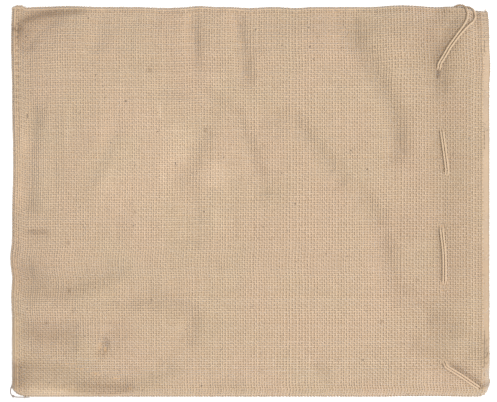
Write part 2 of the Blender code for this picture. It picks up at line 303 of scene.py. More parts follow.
# The drawcord's route: along X, along Y, and its place there
ROUTE_FRONT = (
    (285.0, -231.6, "front dive out"),
    (263.0, -216.5, "front over"),
    (242.5, -200.0, "front dive in"),
    (241.0, -176.0, "front in"),
    (240.6, -157.0, "front in"),
    (240.8, -134.0, "front in"),
    (241.9, -101.3, "front dive out"),
    (241.9, -66.0, "front over"),
    (238.8, -31.3, "front dive in"),
    (241.0, 2.0, "front in"),
    (245.0, 35.0, "front dive out"),
    (242.6, 62.0, "front over"),
    (238.8, 90.0, "front dive in"),
    (236.6, 115.0, "front in"),
    (235.8, 141.0, "front in"),
    (235.6, 166.3, "front dive out"),
    (242.0, 181.5, "front over"),
    (249.5, 194.5, "front over"),
)
ROUTE_BACK = (
    (240.0, 190.0, "back dive in"),
    (241.5, 155.0, "back in"),
    (240.0, 120.0, "back dive out"),
    (238.6, 82.0, "back under"),
    (240.0, 45.0, "back dive in"),
    (241.4, 8.0, "back in"),
    (240.0, -30.0, "back dive out"),
    (238.8, -70.0, "back under"),
    (240.0, -110.0, "back dive in"),
    (241.2, -140.0, "back in"),
    (245.0, -180.0, "back in"),
    (254.0, -205.0, "back in"),
    (266.0, -218.0, "back in"),
    (276.0, -224.0, "back in"),
)

# Over the seam edge each strand turns on its own: along X, along Y, how far above its place there, that place
ARC_A = (
    (259.5, 211.0, 0.0, "front over"),
    (265.5, 219.0, 0.0, "front over"),
    (270.5, 227.5, 0.0, "front over"),
    (272.0, 235.6, 0.2, "front over"),
    (270.2, 242.4, 7.7, "back under"),
    (267.0, 246.0, 5.2, "back under"),
    (262.0, 246.8, 2.2, "back under"),
    (257.2, 244.8, 0.5, "back under"),
    (252.8, 239.4, 0.0, "back under"),
    (246.6, 222.0, 0.0, "back under"),
    (242.6, 207.0, 0.0, "back under"),
)
ARC_B = (
    (264.0, 211.0, 0.0, "front over"),
    (272.6, 219.8, 0.0, "front over"),
    (279.0, 225.4, 0.0, "front over"),
    (281.6, 231.6, 0.1, "front over"),
    (281.2, 236.6, 0.3, "front over"),
    (280.0, 240.2, 6.0, "back under"),
    (277.6, 242.8, 2.9, "back under"),
    (272.8, 244.7, 0.9, "back under"),
    (267.6, 243.4, 0.2, "back under"),
    (262.4, 237.8, 0.0, "back under"),
    (253.6, 221.0, 0.0, "back under"),
    (246.8, 206.6, 0.0, "back under"),
)

# Each strand: its side of the line along the front, and its turn; how many points its curve has from each
# place
STRANDS = {"drawcord_strand_a": (1, ARC_A), "drawcord_strand_b": (-1, ARC_B)}
STRAND_STEPS = 3

# The thread tail's route round the corner, outside it: along X, along Y, up
TAIL_ROUTE = (
    (-296.6, -227.4, 1.6),
    (-298.9, -230.4, 1.3),
    (-300.4, -234.2, 1.0),
    (-300.9, -238.4, 0.9),
    (-299.9, -242.2, 0.9),
    (-297.2, -244.4, 0.9),
    (-293.6, -245.2, 0.9),
    (-288.0, -245.4, 0.9),
    (-282.0, -245.5, 1.0),
    (-276.0, -245.4, 1.2),
)
TAIL_THIN = ((0.0, 1.0), (0.7, 1.0), (1.0, 0.3))

# The small knot in it: its middle, how far its loops reach, how flat it lies, its points
KNOT = (-297.6, -244.1, 1.5)
KNOT_SIZE = 0.42
KNOT_FLAT = 1.4
KNOT_STEPS = 49

# The threads' own map, and the gap at each side of a thread's strip, as a share of its width
THREAD_MAP = "OFBake"
STRIP_GAP = 0.08

# The names of the cloth, and the width and length that it was cut to
SHEET = "bag_cloth_woven"
CUT = (0.62, 1.0)

# How deep the woven threads, the ground sheet between them, which is coloured as painted shade in the gaps, and its
# inner face lie under a layer's outer face
THREAD_DEEP = 0.95
GROUND_DEEP = 1.15
GROUND_INSIDE = 1.7

# How far in from the closed edges the ground's faces end, and how far out its edge is; how far in its first
# points lie, where the even ones begin, and how far apart those are
GROUND_INSET = 1.6
GROUND_OUT = 0.1
GROUND_STEPS = (0.0, 1.5, 3.5)
GROUND_EVEN = 6.0
GROUND_CELL = 5.8

# The threads round a closed edge a little outside the solid's own line
EDGE_OUT = 0.8

# The lengthwise threads turn in over the mouth's edge: how far on along X, how far in from the face
MOUTH_TURN = ((0.6, 0.8), (-1.2, 1.9))


def clamp(value, low=0.0, high=1.0):
    return np.clip(value, low, high)


def smooth(value):
    t = clamp(value)
    return t * t * (3 - 2 * t)


def hump(t):
    """1 at 0, falling smoothly to 0 at 1 and past it."""
    return np.where(np.abs(t) < 1, (1 - t * t) ** 2, 0.0)


def to_leg(x, y, start, end):
    """How far a place is from a straight leg, and how far along it the nearest point is, from 0 to 1."""
    along_x, along_y = end[0] - start[0], end[1] - start[1]
    from_x, from_y = x - start[0], y - start[1]
    t = clamp((from_x * along_x + from_y * along_y) / (along_x**2 + along_y**2))
    return np.hypot(from_x - t * along_x, from_y - t * along_y), t


def distance_to_path(x, y, path):
    nearest = np.full(np.shape(x), np.inf)
    for start, end in zip(path, path[1:]):
        nearest = np.minimum(nearest, to_leg(x, y, start, end)[0])
    return nearest


def uneven(x, y, cell, seed):
    """Smooth random heights from -1 to 1, one for each corner of a grid of square cells."""
    shape = (int(LENGTH / cell) + 6, int(WIDTH / cell) + 6)
    heights = np.random.default_rng(seed).uniform(-1, 1, shape)
    across, up = (x - END_X) / cell + 2, (y - FOLD_Y) / cell + 2
    i, j = np.floor(across).astype(int), np.floor(up).astype(int)
    s, t = smooth(across - i), smooth(up - j)
    low = heights[i, j] * (1 - s) + heights[i + 1, j] * s
    high = heights[i, j + 1] * (1 - s) + heights[i + 1, j + 1] * s
    return low * (1 - t) + high * t


# The outline


def wave(edge, place):
    return sum(out * hump((place - at) / reach) for name, at, reach, out in EDGE_WAVES if name == edge)


def corner(from_end, size):
    """How far a rounded corner has drawn the fold edge in, at a distance along X from its end."""
    t = 1 - clamp(from_end / size[0])
    return size[1] * (1 - np.sqrt(1 - t * t))


def end_edge(y):
    return END_X - wave("end", y)


def mouth_edge(y):
    return MOUTH_X + wave("mouth", y)


def fold_edge(x):
    rounded = corner(x - END_X, END_CORNER) + corner(MOUTH_X - x, MOUTH_CORNER)
    return FOLD_Y - wave("fold", x) + rounded


def seam_edge(x):
    places, outs = zip(*EAR)
    return SEAM_Y + wave("seam", x) + np.interp(x, places, outs)


def place(x, y, inset):
    """A point of the bag's plain rectangle, moved to its real outline, in from the three closed edges."""
    u = (x - END_X) / LENGTH
    v = (y - FOLD_Y) / WIDTH
    real_x = (end_edge(y) + inset) * (1 - u) + mouth_edge(y) * u
    real_y = (fold_edge(real_x) + inset) * (1 - v) + (seam_edge(real_x) - inset) * v
    return real_x, real_y


# The heights of the two layers


def wall(x):
    """The cloth's thickness, doubled in the turned hem."""
    return WALL + (HEM_WALL - WALL) * clamp((x - MOUTH_X + HEM_WIDTH) / HEM_STEP)


def edge_height(x):
    return 2 * wall(x) + EDGE_GAP


def rise(distance, reach):
    return 1 - (1 - clamp(distance / reach)) ** RISE_POWER


def closed_distances(x, y):
    return x - end_edge(y), y - fold_edge(x), seam_edge(x) - y


def lift(x, y):
    """How far the back layer is raised over the cord below it."""
    most = np.zeros(np.shape(x))
    for path in UNDER_PATHS:
        far = distance_to_path(x, y, path) - LIFT_FLAT
        most = np.maximum(most, 1 - smooth(far / LIFT_FADE))
    return LIFT * most


def front(x, y):
    """The height of the front layer's upper face."""
    from_end, from_fold, from_seam = closed_distances(x, y)
    full = rise(from_end, END_RISE) * rise(from_fold, FOLD_RISE) * rise(from_seam, SEAM_RISE)
    low = edge_height(x)
    relief = -CORD_VALLEY_DEEP * np.exp(-(((x - CORD_X) / CORD_VALLEY_WIDE) ** 2))
    for depth, half_width, path in FOLDS:
        relief = relief + depth * np.exp(-((distance_to_path(x, y, path) / half_width) ** 2))
    fade = smooth(np.minimum(np.minimum(from_end, from_fold), from_seam) / FOLD_FADE)
    raised = lift(x, y)
    height = low + (CROWN - low) * full + relief * fade + raised * (1 - full)
    return np.maximum(height, low + raised)


# The drawcord's line


def level(x, y, where):
    """The height of a strand's middle at a place on its route, clear of the cloth over its whole width."""
    half = TWINE / 2
    across = np.array([(x, y), (x + half, y), (x - half, y), (x, y + half), (x, y - half)]).T
    if where == "front over":
        return front(*across).max() + CLEAR + half
    if where == "front in":
        return (front(*across) - wall(across[0])).min() - CLEAR - half
    if where == "back in":
        return (lift(*across) + wall(across[0])).max() + CLEAR + half
    return GROUND + half


def heading(route, n):
    ax, ay = route[max(n - 1, 0)][:2]
    bx, by = route[min(n + 1, len(route) - 1)][:2]
    size = math.hypot(bx - ax, by - ay)
    return (bx - ax) / size, (by - ay) / size


DIVES = {
    "front dive out": ("front in", "front over"),
    "front dive in": ("front over", "front in"),
    "back dive in": ("back under", "back in"),
    "back dive out": ("back in", "back under"),
}


def pair_points(route, side):
    """The points of one strand along a stretch where the two lie side by side."""
    points = []
    for n, (x, y, where) in enumerate(route):
        dx, dy = heading(route, n)
        x, y = x - dy * side * TWINE_APART / 2, y + dx * side * TWINE_APART / 2
        if where not in DIVES:
            points.append((x, y, level(x, y, where)))
            continue
        before, after = DIVES[where]
        for along, share in DIVE_POINTS:
            px, py = x + dx * along, y + dy * along
            points.append((px, py, level(px, py, before) * (1 - share) + level(px, py, after) * share))
    return points


def strand_points(side, arc):
    """A strand on the left of its way along the front is on the right of it along the back."""
    over = [(x, y, up + level(x, y, where)) for x, y, up, where in arc]
    return pair_points(ROUTE_FRONT, side) + over + pair_points(ROUTE_BACK, -side)


def under_paths():
    """The stretches of the back layer that have a strand below them, as paths in X and Y."""
    paths = []
    for _, arc in STRANDS.values():
        below = [(x, y) for x, y, up, where in arc if where == "back under" and up < LOW_TURN]
        paths.append(below + [ROUTE_BACK[0][:2]])
    dives = [(x, y) for x, y, where in ROUTE_BACK if where in DIVES]
    paths += [dives[n : n + 2] for n in range(1, len(dives), 2)]
    return paths


UNDER_PATHS = under_paths()


def smooth_curve(points, steps):
    """A Catmull-Rom curve through the points, read at so many places from each point to the next."""
    ends = [Vector(at) for at in (points[0], *points, points[-1])]
    found = []
    for a, b, c, d in zip(ends, ends[1:], ends[2:], ends[3:]):
        for n in range(steps):
            t = n / steps
            bent = (2 * a - 5 * b + 4 * c - d) * t**2 + (3 * b - a - 3 * c + d) * t**3
            found.append(0.5 * (2 * b + (c - a) * t + bent))
    return found + [ends[-1]]


def path_of(points, steps):
    """The smooth curve through the points, in metres."""
    return [at * MM for at in smooth_curve(points, steps)]


def length_of(path):
    return sum((b - a).length for a, b in zip(path, path[1:]))


# What the weave adds to the solid's shape: slacker edges, creases, uneven cloth, puckers and parted threads

# Away from the cord the cloth comes up quickly at a closed edge and then slowly: the quick share, the two
# reaches and their power; where along X it begins to come up as the solid does, and over which length
SLACK_SHARE = 0.16
SLACK_QUICK = 11.0
SLACK_SLOW = 120.0
SLACK_POWER = 2.0
SLACK_FROM = 212.0
SLACK_FADE = 90.0

# How much darker the cloth is painted where shade falls in a crease, a hole or a patch, and how much paler
# where light is painted on it; the two palest steps also mark pale yarns
DARKEST_SHADE = 0.5
CREASE_SHADE = 0.34
DEEP = 0.2
DARK = 0.15
SHADED = 0.1
SOFT = 0.05
NONE = 0.0
PALE = -0.04
BRIGHT = -0.08
LIGHT_AND_PALE_YARN = -0.14
STRONG_LIGHT_AND_PALEST_YARN = -0.22

# Creases, and wider patches of painted shade and painted light: depth, tone, half width, and the points of
# each; the tone paints shade in creases, hollows and holes and the cord's shadow beside it, and light on lit
# rises, while the narrowest pale rows are pale yarns
CREASES = (
    (4.5, DEEP, 14.0, ((-279, 182), (-284, 202), (-288, 218), (-276, 226), (-258, 232), (-230, 240))),
    (1.3, PALE, 12.0, ((-180, 245), (-182, 222), (-186, 202), (-199, 190), (-202, 168))),
    (1.3, NONE, 11.0, ((-150, 230), (-129, 225), (-108, 226))),
    (2.2, NONE, 8.0, ((-74, 250), (-72, 225), (-70, 202), (-68, 180), (-62, 152))),
    (1.7, NONE, 8.0, ((-19, 250), (-16, 225), (-11, 192), (-5, 155), (-1, 128))),
    (1.6, PALE, 11.0, ((-115, 142), (-98, 142), (-78, 140), (-59, 130),
     (-38, 120), (-19, 109), (-8, 90), (-1, 59), (8, 28))),
    (1.8, SHADED, 11.0, ((-275, 122), (-268, 105), (-271, 80), (-278, 50), (-280, 20), (-275, -5),
     (-265, -20))),
    (1.0, NONE, 9.0, ((-162, 130), (-170, 95), (-178, 68), (-192, 45), (-199, 22))),
    (0.8, SOFT, 11.0, ((-172, -30), (-160, -28), (-158, -50))),
    (0.8, PALE, 12.0, ((-68, 2), (-62, -29), (-68, -55))),
    (1.0, SOFT, 7.0, ((-288, -36), (-270, -38), (-250, -40))),
    (2.4, SOFT, 15.0, ((-305, -102), (-285, -104), (-260, -101),
     (-232, -105), (-208, -96), (-185, -90), (-158, -94))),
    (2.1, SOFT, 12.0, ((-302, -88), (-288, -88), (-268, -85))),
    (1.8, SOFT, 12.0, ((-172, -126), (-150, -128), (-125, -122),
     (-105, -122), (-85, -131), (-70, -145), (-69, -162), (-85, -180))),
    (2.4, DARK, 14.0, ((-300, -158), (-278, -160), (-255, -162), (-230, -162), (-208, -165))),
    (2.1, SOFT, 16.0, ((-258, -178), (-238, -180), (-215, -185))),
    (2.1, SHADED, 12.0, ((-190, -180), (-178, -185))),
    (4.5, DARK, 14.0, ((-308, -212), (-292, -208), (-268, -209),
     (-238, -216), (-212, -224), (-188, -230), (-165, -235), (-148, -241))),
    (4.2, DARK, 12.0, ((-296, -218), (-295, -238))),
    (1.0, SHADED, 11.0, ((-165, -230), (-140, -225), (-120, -220), (-100, -211), (-85, -216))),
    (0.8, SOFT, 11.0, ((-56, -228), (-30, -225), (-2, -228))),
    (2.1, SHADED, 12.0, ((110, 235), (125, 208), (140, 178), (150, 159),
     (162, 141), (174, 120), (181, 98), (182, 65), (175, 38))),
    (1.8, SOFT, 15.0, ((2, 232), (38, 225), (68, 230), (100, 228), (120, 222), (155, 222), (185, 215),
     (218, 225))),
    (1.6, NONE, 12.0, ((15, 104), (41, 106), (58, 95), (75, 71), (92, 52), (105, 30))),
    (1.6, SOFT, 14.0, ((105, 30), (125, 14), (142, -4), (156, -28),
     (165, -55), (169, -80), (172, -102), (182, -112), (210, -110))),
    (0.7, NONE, 11.0, ((118, 108), (125, 85), (132, 62))),
    (1.0, SHADED, 8.0, ((78, -195), (89, -210), (102, -230))),
    (0.8, SOFT, 14.0, ((188, -15), (189, -48))),
    # Painted shade over the drawcord's side of the bag
    (0.0, SHADED, 32.0, ((251, 252), (251, 178), (252, 90), (255, 2), (256, -85), (259, -160))),
    (0.0, DARK, 16.0, ((220, 230), (226, 190), (234, 152), (239, 128))),
    (1.8, SHADED, 11.0, ((221, -138), (230, -162), (245, -175))),
    (1.3, SHADED, 15.0, ((212, -118), (240, -145), (270, -172))),
    # Painted light on the lit dome, rises and left edge, and painted shade in hollows and corners
    (0.0, BRIGHT, 88.0, ((-200, 46), (-88, 40))),
    (0.0, LIGHT_AND_PALE_YARN, 15.0, ((-88, 100), (-86, 75), (-95, 42))),
    (0.0, BRIGHT, 11.0, ((-180, 45), (-182, 8))),
    (0.0, LIGHT_AND_PALE_YARN, 18.0, ((-38, 52), (-48, 15))),
    (0.0, PALE, 15.0, ((-105, 25), (-108, 2))),
    (0.0, BRIGHT, 16.0, ((-45, 162), (-45, 142))),
    (0.0, BRIGHT, 15.0, ((-48, -5), (-40, -42))),
    (0.0, PALE, 14.0, ((198, -48), (201, -80))),
    (0.0, SHADED, 15.0, ((198, -172), (238, -192), (252, -198))),
    (0.0, SHADED, 20.0, ((-302, -92), (-275, -92), (-250, -98))),
    (0.0, SOFT, 20.0, ((-275, -170), (-242, -172))),
    (0.0, DARK, 26.0, ((-288, -238), (-300, -198))),
    (0.0, SHADED, 14.0, ((-282, 222), (-282, 208))),
    (0.0, PALE, 16.0, ((238, 175), (238, 132))),
    (0.0, PALE, 26.0, ((-238, 178), (-238, 152))),
    (0.0, SHADED, 20.0, ((-175, -154), (-150, -172))),
    (0.0, LIGHT_AND_PALE_YARN, 24.0, ((-275, 102), (-275, -10))),
    # Painted shade in a cord hole, and the cord's painted shadow beside its runs and its lower crossing
    (0.0, DARKEST_SHADE, 2.3, ((237, 171), (235.8, 163.0), (234, 153))),
    (0.0, DARK, 7.5, ((264, 244), (260, 228), (252.5, 215.0), (243.5, 200.0), (237, 186), (231, 170))),
    (0.0, SHADED, 10.0, ((250, 250), (243, 232), (238, 215))),
    (0.0, SOFT, 4.0, ((236.2, 95.0), (238.8, 77.5), (241.2, 52.5), (241.2, 30.0))),
    (0.0, SOFT, 4.0, ((235, -25), (236.2, -47.5), (238.8, -75.0), (238.8, -105.0))),
    (0.0, CREASE_SHADE, 4.2, ((247.0, -198.5), (261.5, -210.0), (275, -218), (285.5, -227.0), (297.0, -228.6))),
    # Painted shade in the seam's groove, in the notch at the ear and in the crease at the mouth's lower corner
    (0.9, CREASE_SHADE, 4.4, ((-293, 216), (-287, 226), (-276, 231), (-262, 234.5), (-248, 236.5),
     (-226, 238), (-200, 239))),
    (0.6, DEEP, 4.0, ((-293, 200), (-290, 212), (-287, 224))),
    (0.0, DARKEST_SHADE, 1.9, ((-303, 214), (-299, 216), (-294, 218))),
    (0.5, CREASE_SHADE, 2.0, ((280, -230.5), (289, -229.8), (302, -228.6))),
    # A painted highlight along the fold edge, then painted shade at the lower corner and in a crease by the fold
    (0.0, STRONG_LIGHT_AND_PALEST_YARN, 4.5, ((-282, -237), (-255, -238), (-222, -237.5))),
    (0.0, DARK, 11.0, ((-293, -200), (-292, -216), (-286, -230))),
    (0.5, DARK, 3.6, ((-226, -226), (-206, -230), (-182, -231.5), (-160, -232.5), (-136, -235))),
    # Pale yarns
    (0.0, LIGHT_AND_PALE_YARN, 1.9, ((216, -137), (216, -151))),
    (0.0, STRONG_LIGHT_AND_PALEST_YARN, 1.9, ((-113, 125), (-113, 103))),
    (0.0, LIGHT_AND_PALE_YARN, 1.9, ((-227, 125), (-227, 54))),
    (0.0, LIGHT_AND_PALE_YARN, 1.9, ((-110, 50), (-110, 24))),
    # Broad painted shade over the mouth's side, then a darker stretch of the hem low down
    (0.0, SOFT, 48.0, ((230, 300), (232, 0), (232, -300))),
    (0.0, SHADED, 6.5, ((293, -40), (293, -150), (293, -260))),
)

# Flecks of bark spun into the yarn: the middle along X and Y, how long along X and along Y
FLECKS = (
    (-126.0, 164.0, 5.0, 0.0),
    (-266.0, -37.5, 28.0, 0.0),
    (-227.0, -51.0, 4.0, 0.0),
    (-144.0, -12.5, 4.0, 0.0),
    (-226.0, -111.0, 0.0, 5.0),
    (-219.0, -135.0, 4.0, 0.0),
    (-255.0, -151.0, 5.0, 0.0),
    (-181.0, -170.0, 2.0, 0.0),
    (-180.5, -175.0, 2.0, 0.0),
    (-180.0, -180.0, 2.0, 0.0),
    (-181.0, -185.0, 2.0, 0.0),
    (-231.0, -190.0, 4.0, 0.0),
    (-56.0, 90.0, 5.0, 0.0),
    (165.0, -149.0, 4.0, 0.0),
    (207.5, -97.5, 0.0, 5.0),
)
FLECK_WIDE = 1.9
FLECK_TONE = 0.34

# A crease fades over this share of its length at each end, with this much of it left there, and near the cord
# over this length
CREASE_FADE = 0.3
CREASE_LEFT = 0.25
CREASE_FROM_CORD = 24.0

# How softly the top layer comes to rest on the back one
SOFT_LANDING = 0.5

# Soft unevenness: the size of its cells, how high, its seed
UNEVEN = (
    (52.0, 0.75, 11),
    (23.0, 0.38, 12),
    (11.0, 0.16, 13),
)

# The painted shade on the outer sides of the rounded edges, and how far in it reaches
EDGE_TONE = 0.25
EDGE_SHADE = 2.4

# The two sewn edges pucker: how far in, how high, how long each pucker is
PUCKER_REACH = 15.0
PUCKER_HIGH = 0.55
PUCKER_CELL = 6.5

# The stitched groove along the end and along the seam: how far in, how deep, how wide, how far and how
# slowly it strays, its seed, how much painted shade darkens it, and how much painted light pales the turned band
# outside it
SEAM_IN = (5.6, 4.6)
SEAM_GROOVE = (0.9, 0.6)
SEAM_GROOVE_WIDE = 1.5
SEAM_WANDER = 0.5
SEAM_WANDER_CELL = 26.0
SEAM_SEEDS = (21, 22)
SEAM_TONE = (0.45, 0.14)
BAND_TONE = 0.05

# How far apart the holes of each sewn edge's stitches are, and how sharp
SEAM_PITCH = (3 * WIDTH / THREADS_ACROSS, 5.6)
SEAM_SHARP = (3.0, 0.5)

# Along the end its band shows more towards the seam: where that begins, over which length it grows, and how
# much of the groove's painted shade is there from the fold on
BAND_FADE = (30.0, 120.0)
BAND_LEAST = 0.15

# The turned hem shows as a smooth pale band: how wide, how fast it begins, how deep its ground lies, how
# much of their wave its threads keep, and how much fuller they are
BAND_WIDE = 8.6
BAND_STEP = 3.4
HEM_DEEP = 0.56
HEM_WAVE = 0.35
HEM_GIRTH = 0.42

# Where the threads are pressed close: how far in from the end, near the fold and near the seam, how far in
# from the seam, and how fast that begins
END_PRESSED = (2.4, 6.2)
SEAM_PRESSED = 3.4
PRESSED_STEP = 1.6

# How much of its own tone a pressed thread keeps, and the tone that pressed threads share
PRESSED_TONE = 0.25
PRESSED_VALUE = 0.46

# Round each of the cord's holes: how wide threads are pushed apart, how much, and the least distance used
PART_REACH = 9.0
PART_WIDE = 1.5
PART_LEAST = 0.3

# The crosswise threads lie closer at the closed end than at the mouth: the growth of their spacing; for both
# ways, the number of slow drifts in the spacing, how much they count for, and the seeds
SPACING_GROWTH = 0.27
SPACING_DRIFTS = 26
DRIFT_SHARE = 0.5
SPACING_SEEDS = (41, 42)

# Over how many threads the room is averaged that makes a thread fuller
ROOM_THREADS = 5

# How much longer than the bag's length and its width the threads' maps are
MAP_LONGER = (1.03, 1.06)

# Each piece of threads adds a number of its own, below this one, to the seed
SEED_SPAN = 97

# Stitches of the hem and of the turned end seam: pitch, length, half their width, how far in from the edge,
# and the painted shade that the colour is multiplied by in the pits at their ends
HEM_STITCH = (5.6, 5.4, 0.34, 8.8, 0.72)
END_STITCH = (8.2, 8.0, 0.42, 5.8, 0.55)

# How high a stitch on the front rises, how deep those of both layers lie, how steeply the painted shade of
# their pits fades, how flat they are, and the points of each
STITCH_RISE = 0.3
STITCH_DEEP = 0.36
STITCH_DEEP_BACK = 0.62
PIT_STEEP = 2.2
STITCH_FLATNESS = 0.8
STITCH_POINTS = 9

# Where the rows of stitches begin and end, and how far apart their guide's points are
STITCHED_FROM = FOLD_Y + 9.0
STITCHED_TO = SEAM_Y - 8.0
STITCHED_CELL = 3.0

# Loose fibres: how many on each face, along the edges and on each strand, the points of each, and their seed
FIBRES_FRONT = 2100
FIBRES_BACK = 500
FIBRES_EDGE = 1750
FIBRES_CORD = 420
FIBRE_STEPS = 3
FIBRE_SEED = 31

# Half the width of each kind of fibre, and how far it curls
FIBRE_SIZES = {
    "front_fibres": (0.075, 1.2),
    "back_fibres": (0.075, 1.2),
    "edge_fibres": (0.085, 0.7),
    "cord_fibres": (0.06, 0.5),
    "frayed_yarn_ends": (0.42, 0.6),
}

# Fibres on a face: where they start and where they stay along X and Y, how deep they root, how much they
# bend, how many have a free end, and how long and how high they are
FACE_FROM = ((END_X + 5, MOUTH_X - 4), (FOLD_Y + 5, SEAM_Y - 5))
FACE_WITHIN = ((END_X + 3, MOUTH_X - 2), (FOLD_Y + 3, SEAM_Y - 3))
FIBRE_ROOT = 0.7
FACE_BEND = 0.7
FACE_FREE = 0.5
FACE_LONG = (3, 11)
FRONT_HIGH = (0.4, 1.5)
BACK_HIGH = 0.3

# Fibres on an edge: how far in they start, how far from straight out they head, how much they bend, how
# long they are, how much longer a few are and how few, and how high their roots and tips lie
EDGE_IN = 0.3
EDGE_WAY = 1.25
EDGE_BEND = 0.6
EDGE_LONG = (1.2, 3.4)
EDGE_LONGER = 2.6
EDGE_FEW = 4
EDGE_ROOT = (0.9, 2.6)
EDGE_TIP = (0.2, 2.2)

# Fibres on the cord: how far from a strand's middle they start, as a share of its width, how long they are,
# how far they lean out, and how low they come
CORD_ROOT = 0.34
CORD_LONG = (1.5, 5.0)
CORD_LEAN = (0.15, 0.9)
CORD_LOWEST = 0.2

# Frayed yarn ends: how much they bend; where each starts along X and Y, its heading in degrees, its length,
# and its height at both ends
YARN_BEND = 0.5
YARN_ENDS = (
    (294.5, 237.0, 52.0, 5.6, 1.8, 1.2),
    (295.8, 236.6, 48.0, 6.6, 1.4, 0.9),
    (293.2, 237.4, 34.0, 5.6, 2.4, 1.8),
    (296.6, 234.6, 66.0, 6.2, 2.2, 1.6),
    (296.8, 232.0, 12.0, 2.8, 1.2, 0.7),
    (-297.0, 242.6, 152.0, 3.0, 1.8, 0.8),
    (-296.0, 244.2, 112.0, 2.8, 1.5, 0.9),
    (-291.0, 244.8, 76.0, 2.6, 1.8, 1.4),
    (-285.0, 245.2, 98.0, 2.8, 2.0, 1.2),
    (-282.5, 244.6, 58.0, 3.2, 1.4, 0.8),
    (-295.6, 216.8, 197.0, 5.0, 2.6, 1.6),
    (-296.0, 214.4, 176.0, 3.4, 1.6, 0.9),
    (-282.0, -244.6, 228.0, 5.2, 1.0, 0.5),
    (295.5, -222.0, -18.0, 3.6, 1.8, 0.9),
    (296.2, -225.0, -40.0, 3.4, 1.2, 0.7),
)


def hole_places():
    return [(x, y) for route in (ROUTE_FRONT, ROUTE_BACK) for x, y, where in route if where in DIVES]


def parted(x, y):
    """The cloth's threads are pushed apart round each place where the cord goes through it."""
    for hx, hy in hole_places():
        dx, dy = x - hx, y - hy
        far = np.hypot(dx, dy) + PART_LEAST
        push = PART_WIDE * hump(far / PART_REACH) / far
        x, y = x + dx * push, y + dy * push
    return x, y


def sewn_edges(x, y):
    """For each sewn edge: how far in and along a place is, the seed, and how much of its groove is there."""
    from_end, _, from_seam = closed_distances(x, y)
    edges = ((from_end, y), (from_seam, x))
    for (inward, along), seed, at, pitch, sharp in zip(edges, SEAM_SEEDS, SEAM_IN, SEAM_PITCH, SEAM_SHARP):
        line = at + SEAM_WANDER * uneven(along, np.zeros_like(along), SEAM_WANDER_CELL, seed)
        pits = (0.5 - 0.5 * np.cos((along - FOLD_Y) / pitch * 2 * math.pi)) ** sharp
        yield inward, along, seed, pits * np.exp(-(((inward - line) / SEAM_GROOVE_WIDE) ** 2))


def seam_relief(x, y):
    """Puckers along the two sewn edges, and the stitched groove where the turned seam ends inside."""
    relief = 0.0
    for (inward, along, seed, groove), deep in zip(sewn_edges(x, y), SEAM_GROOVE):
        ripple = uneven(along, np.zeros_like(along), PUCKER_CELL, seed)
        relief = relief + PUCKER_HIGH * ripple * (1 - smooth(inward / PUCKER_REACH)) - deep * groove
    return relief


def in_hem(x, y):
    return smooth((x - mouth_edge(y) + BAND_WIDE) / BAND_STEP + 0.5)


def near_seam(y):
    """How much of the end's turned band shows: all of it near the seam, none near the fold."""
    return smooth((y - BAND_FADE[0]) / BAND_FADE[1])


def pressed(x, y):
    """How much the threads are pressed close together: wholly in the hem and along the two sewn edges."""
    from_end, _, from_seam = closed_distances(x, y)
    wide = END_PRESSED[0] + (END_PRESSED[1] - END_PRESSED[0]) * near_seam(y)
    at_end = smooth((wide - from_end) / PRESSED_STEP)
    at_seam = smooth((SEAM_PRESSED - from_seam) / PRESSED_STEP)
    return np.maximum.reduce([in_hem(x, y), at_end, at_seam])


def crease_shares(x, y, rows):
    """How much of each crease there is at a place: 1 along its middle, and less towards its two ends."""
    for _, _, half_width, path in rows:
        nearest, share = np.full(np.shape(x), np.inf), np.zeros(np.shape(x))
        sizes = [math.dist(a, b) for a, b in zip(path, path[1:])]
        done = np.concatenate([[0.0], np.cumsum(sizes)]) / sum(sizes)
        for a, b, start, end in zip(path, path[1:], done, done[1:]):
            far, t = to_leg(x, y, a, b)
            share = np.where(far < nearest, start + t * (end - start), share)
            nearest = np.minimum(far, nearest)
        ends = smooth(share / CREASE_FADE + CREASE_LEFT) * smooth((1 - share) / CREASE_FADE + CREASE_LEFT)
        yield ends * np.exp(-((nearest / half_width) ** 2))


def crease_sum(x, y, rows, column):
    """The depths or the tones of all rows, added up at a place."""
    rows = [row for row in rows if row[column]]
    return sum(row[column] * share for row, share in zip(rows, crease_shares(x, y, rows)))


def fleck_rows():
    """The flecks of bark, written as creases are."""
    for x, y, long_x, long_y in FLECKS:
        ends = ((x - long_x / 2, y - long_y / 2), (x + long_x / 2, y + long_y / 2))
        yield 0.0, FLECK_TONE, FLECK_WIDE, ends


def crease_tone(x, y):
    """What the cloth's colour is multiplied by: the creases' and patches' painted shade and painted light with the
    bark flecks, the painted shade of the stitched grooves with the painted light of the turned bands, and the painted
    shade along the edges.
    """
    tone = 1 - crease_sum(x, y, (*CREASES, *fleck_rows()), 1)
    shown = (BAND_LEAST + (1 - BAND_LEAST) * near_seam(y), 1.0)
    for (inward, _, _, groove), dark, share in zip(sewn_edges(x, y), SEAM_TONE, shown):
        tone = tone - dark * groove * share + BAND_TONE * (1 - smooth(inward / SEAM_IN[0]))
    nearest = np.minimum.reduce([*closed_distances(x, y), mouth_edge(y) - x])
    return tone - EDGE_TONE * (1 - smooth((nearest + EDGE_OUT) / EDGE_SHADE))


def slack(x, y):
    """How much lower than the solid the top layer lies on its way up from the closed edges."""
    full, slow = 1.0, 1.0
    for distance, reach in zip(closed_distances(x, y), (END_RISE, FOLD_RISE, SEAM_RISE)):
        quick = 1 - (1 - clamp(distance / SLACK_QUICK)) ** SLACK_POWER
        gentle = 1 - (1 - clamp(distance / SLACK_SLOW)) ** SLACK_POWER
        full = full * rise(distance, reach)
        slow = slow * (SLACK_SHARE * quick + (1 - SLACK_SHARE) * gentle)
    away = smooth((SLACK_FROM - x) / SLACK_FADE)
    return (CROWN - edge_height(x)) * np.minimum(slow - full, 0.0) * away


